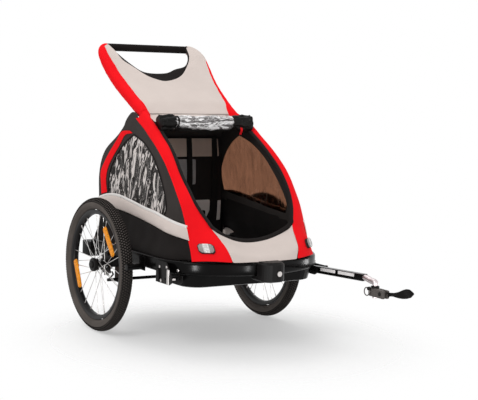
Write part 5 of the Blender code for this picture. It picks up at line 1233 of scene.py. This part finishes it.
# Floor that takes only the shadow and fades into the white backdrop, world and lamps
floor_mat, tree, shader, at = surface("pale_floor", {"Base Color": (0.92, 0.92, 0.92, 1.0), "Roughness": 0.9,
                                                     "Specular IOR Level": 0.1})
far = add(tree, "VectorMath", {"operation": "LENGTH"}, {0: at.outputs["Object"]})
fade = add(tree, "MapRange",
           {"From Min": 0.34, "From Max": 0.88, "To Min": 0.32, "interpolation_type": "SMOOTHSTEP"},
           {"Value": far.outputs["Value"]})
show(tree, add(tree, "MixShader", (), {0: fade, 1: shader, 2: add(tree, "BsdfTransparent")}))
bpy.ops.mesh.primitive_plane_add(size=3.0, location=(0.0, 0.0, -0.0004))
floor = bpy.context.active_object
floor.name = "floor"
floor.data.materials.append(floor_mat)

world = bpy.data.worlds.new("studio")
SCENE.world = world
world.use_nodes = True
tree = world.node_tree
tree.nodes.clear()
ray = add(tree, "LightPath").outputs
seen = add(tree, "Math", {"operation": "MAXIMUM"}, {0: ray["Is Camera Ray"], 1: ray["Is Transmission Ray"]})
seen = add(tree, "Math", {"operation": "MAXIMUM"}, {0: seen, 1: ray["Is Glossy Ray"]})
plain, white = [add(tree, "Background", {"Color": (1.0, 1.0, 1.0, 1.0), "Strength": level})
                for level in (0.74, 1.0)]
add(tree, "OutputWorld", (), {"Surface": add(tree, "MixShader", (), {0: seen, 1: plain, 2: white})})


def lamp(name, place, aim, size, watts, only_shine=False):
    data = bpy.data.lights.new(name, "AREA")
    data.shape = "RECTANGLE"
    data.size, data.size_y = size
    data.energy = watts
    obj = bpy.data.objects.new(name, data)
    facing = (Vector(place) - Vector(aim)).to_track_quat("Z", "Y").to_matrix().to_4x4()
    obj.matrix_world = Matrix.Translation(place) @ facing
    obj.visible_diffuse = not only_shine
    SCENE.collection.objects.link(obj)


lamp("key_softbox", (-2.6, -1.6, 3.2), (0.0, 0.0, 0.5), (1.8, 1.8), 44.0)
lamp("fill_softbox", (2.2, -2.8, 2.2), (0.0, 0.0, 0.5), (2.0, 2.0), 9.0)
lamp("top_softbox", (0.0, 1.2, 3.4), (0.0, 0.0, 0.4), (2.4, 1.6), 16.0)
# Upright strips that only draw highlights on the black tube and tub
lamp("front_strip", (0.3, -3.2, 0.06), (0.0, -0.2, 0.06), (0.14, 0.9), 24.0, True)
lamp("side_strip", (3.2, -0.3, 0.06), (0.2, -0.2, 0.06), (0.16, 0.9), 18.0, True)
lamp("left_strip", (-2.4, -2.3, 0.06), (-0.26, -0.17, 0.06), (0.3, 0.9), 50.0, True)

# Cloth held by the folding frame: each such piece gets a mesh of its own
for name, obj in list(bpy.data.objects.items()):
    if name.startswith(("charcoal_", "smoked_", "window_zip", "padded_stripe", "reflective_piping",
                        "red_rear_strip", "grey_front", "seat_back", "seat_head", "light_panel",
                        "harness_webbing", "harness_buckle", "buckle_button",
                        "zip_puller")) and obj.type == "MESH":
        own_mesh(obj)
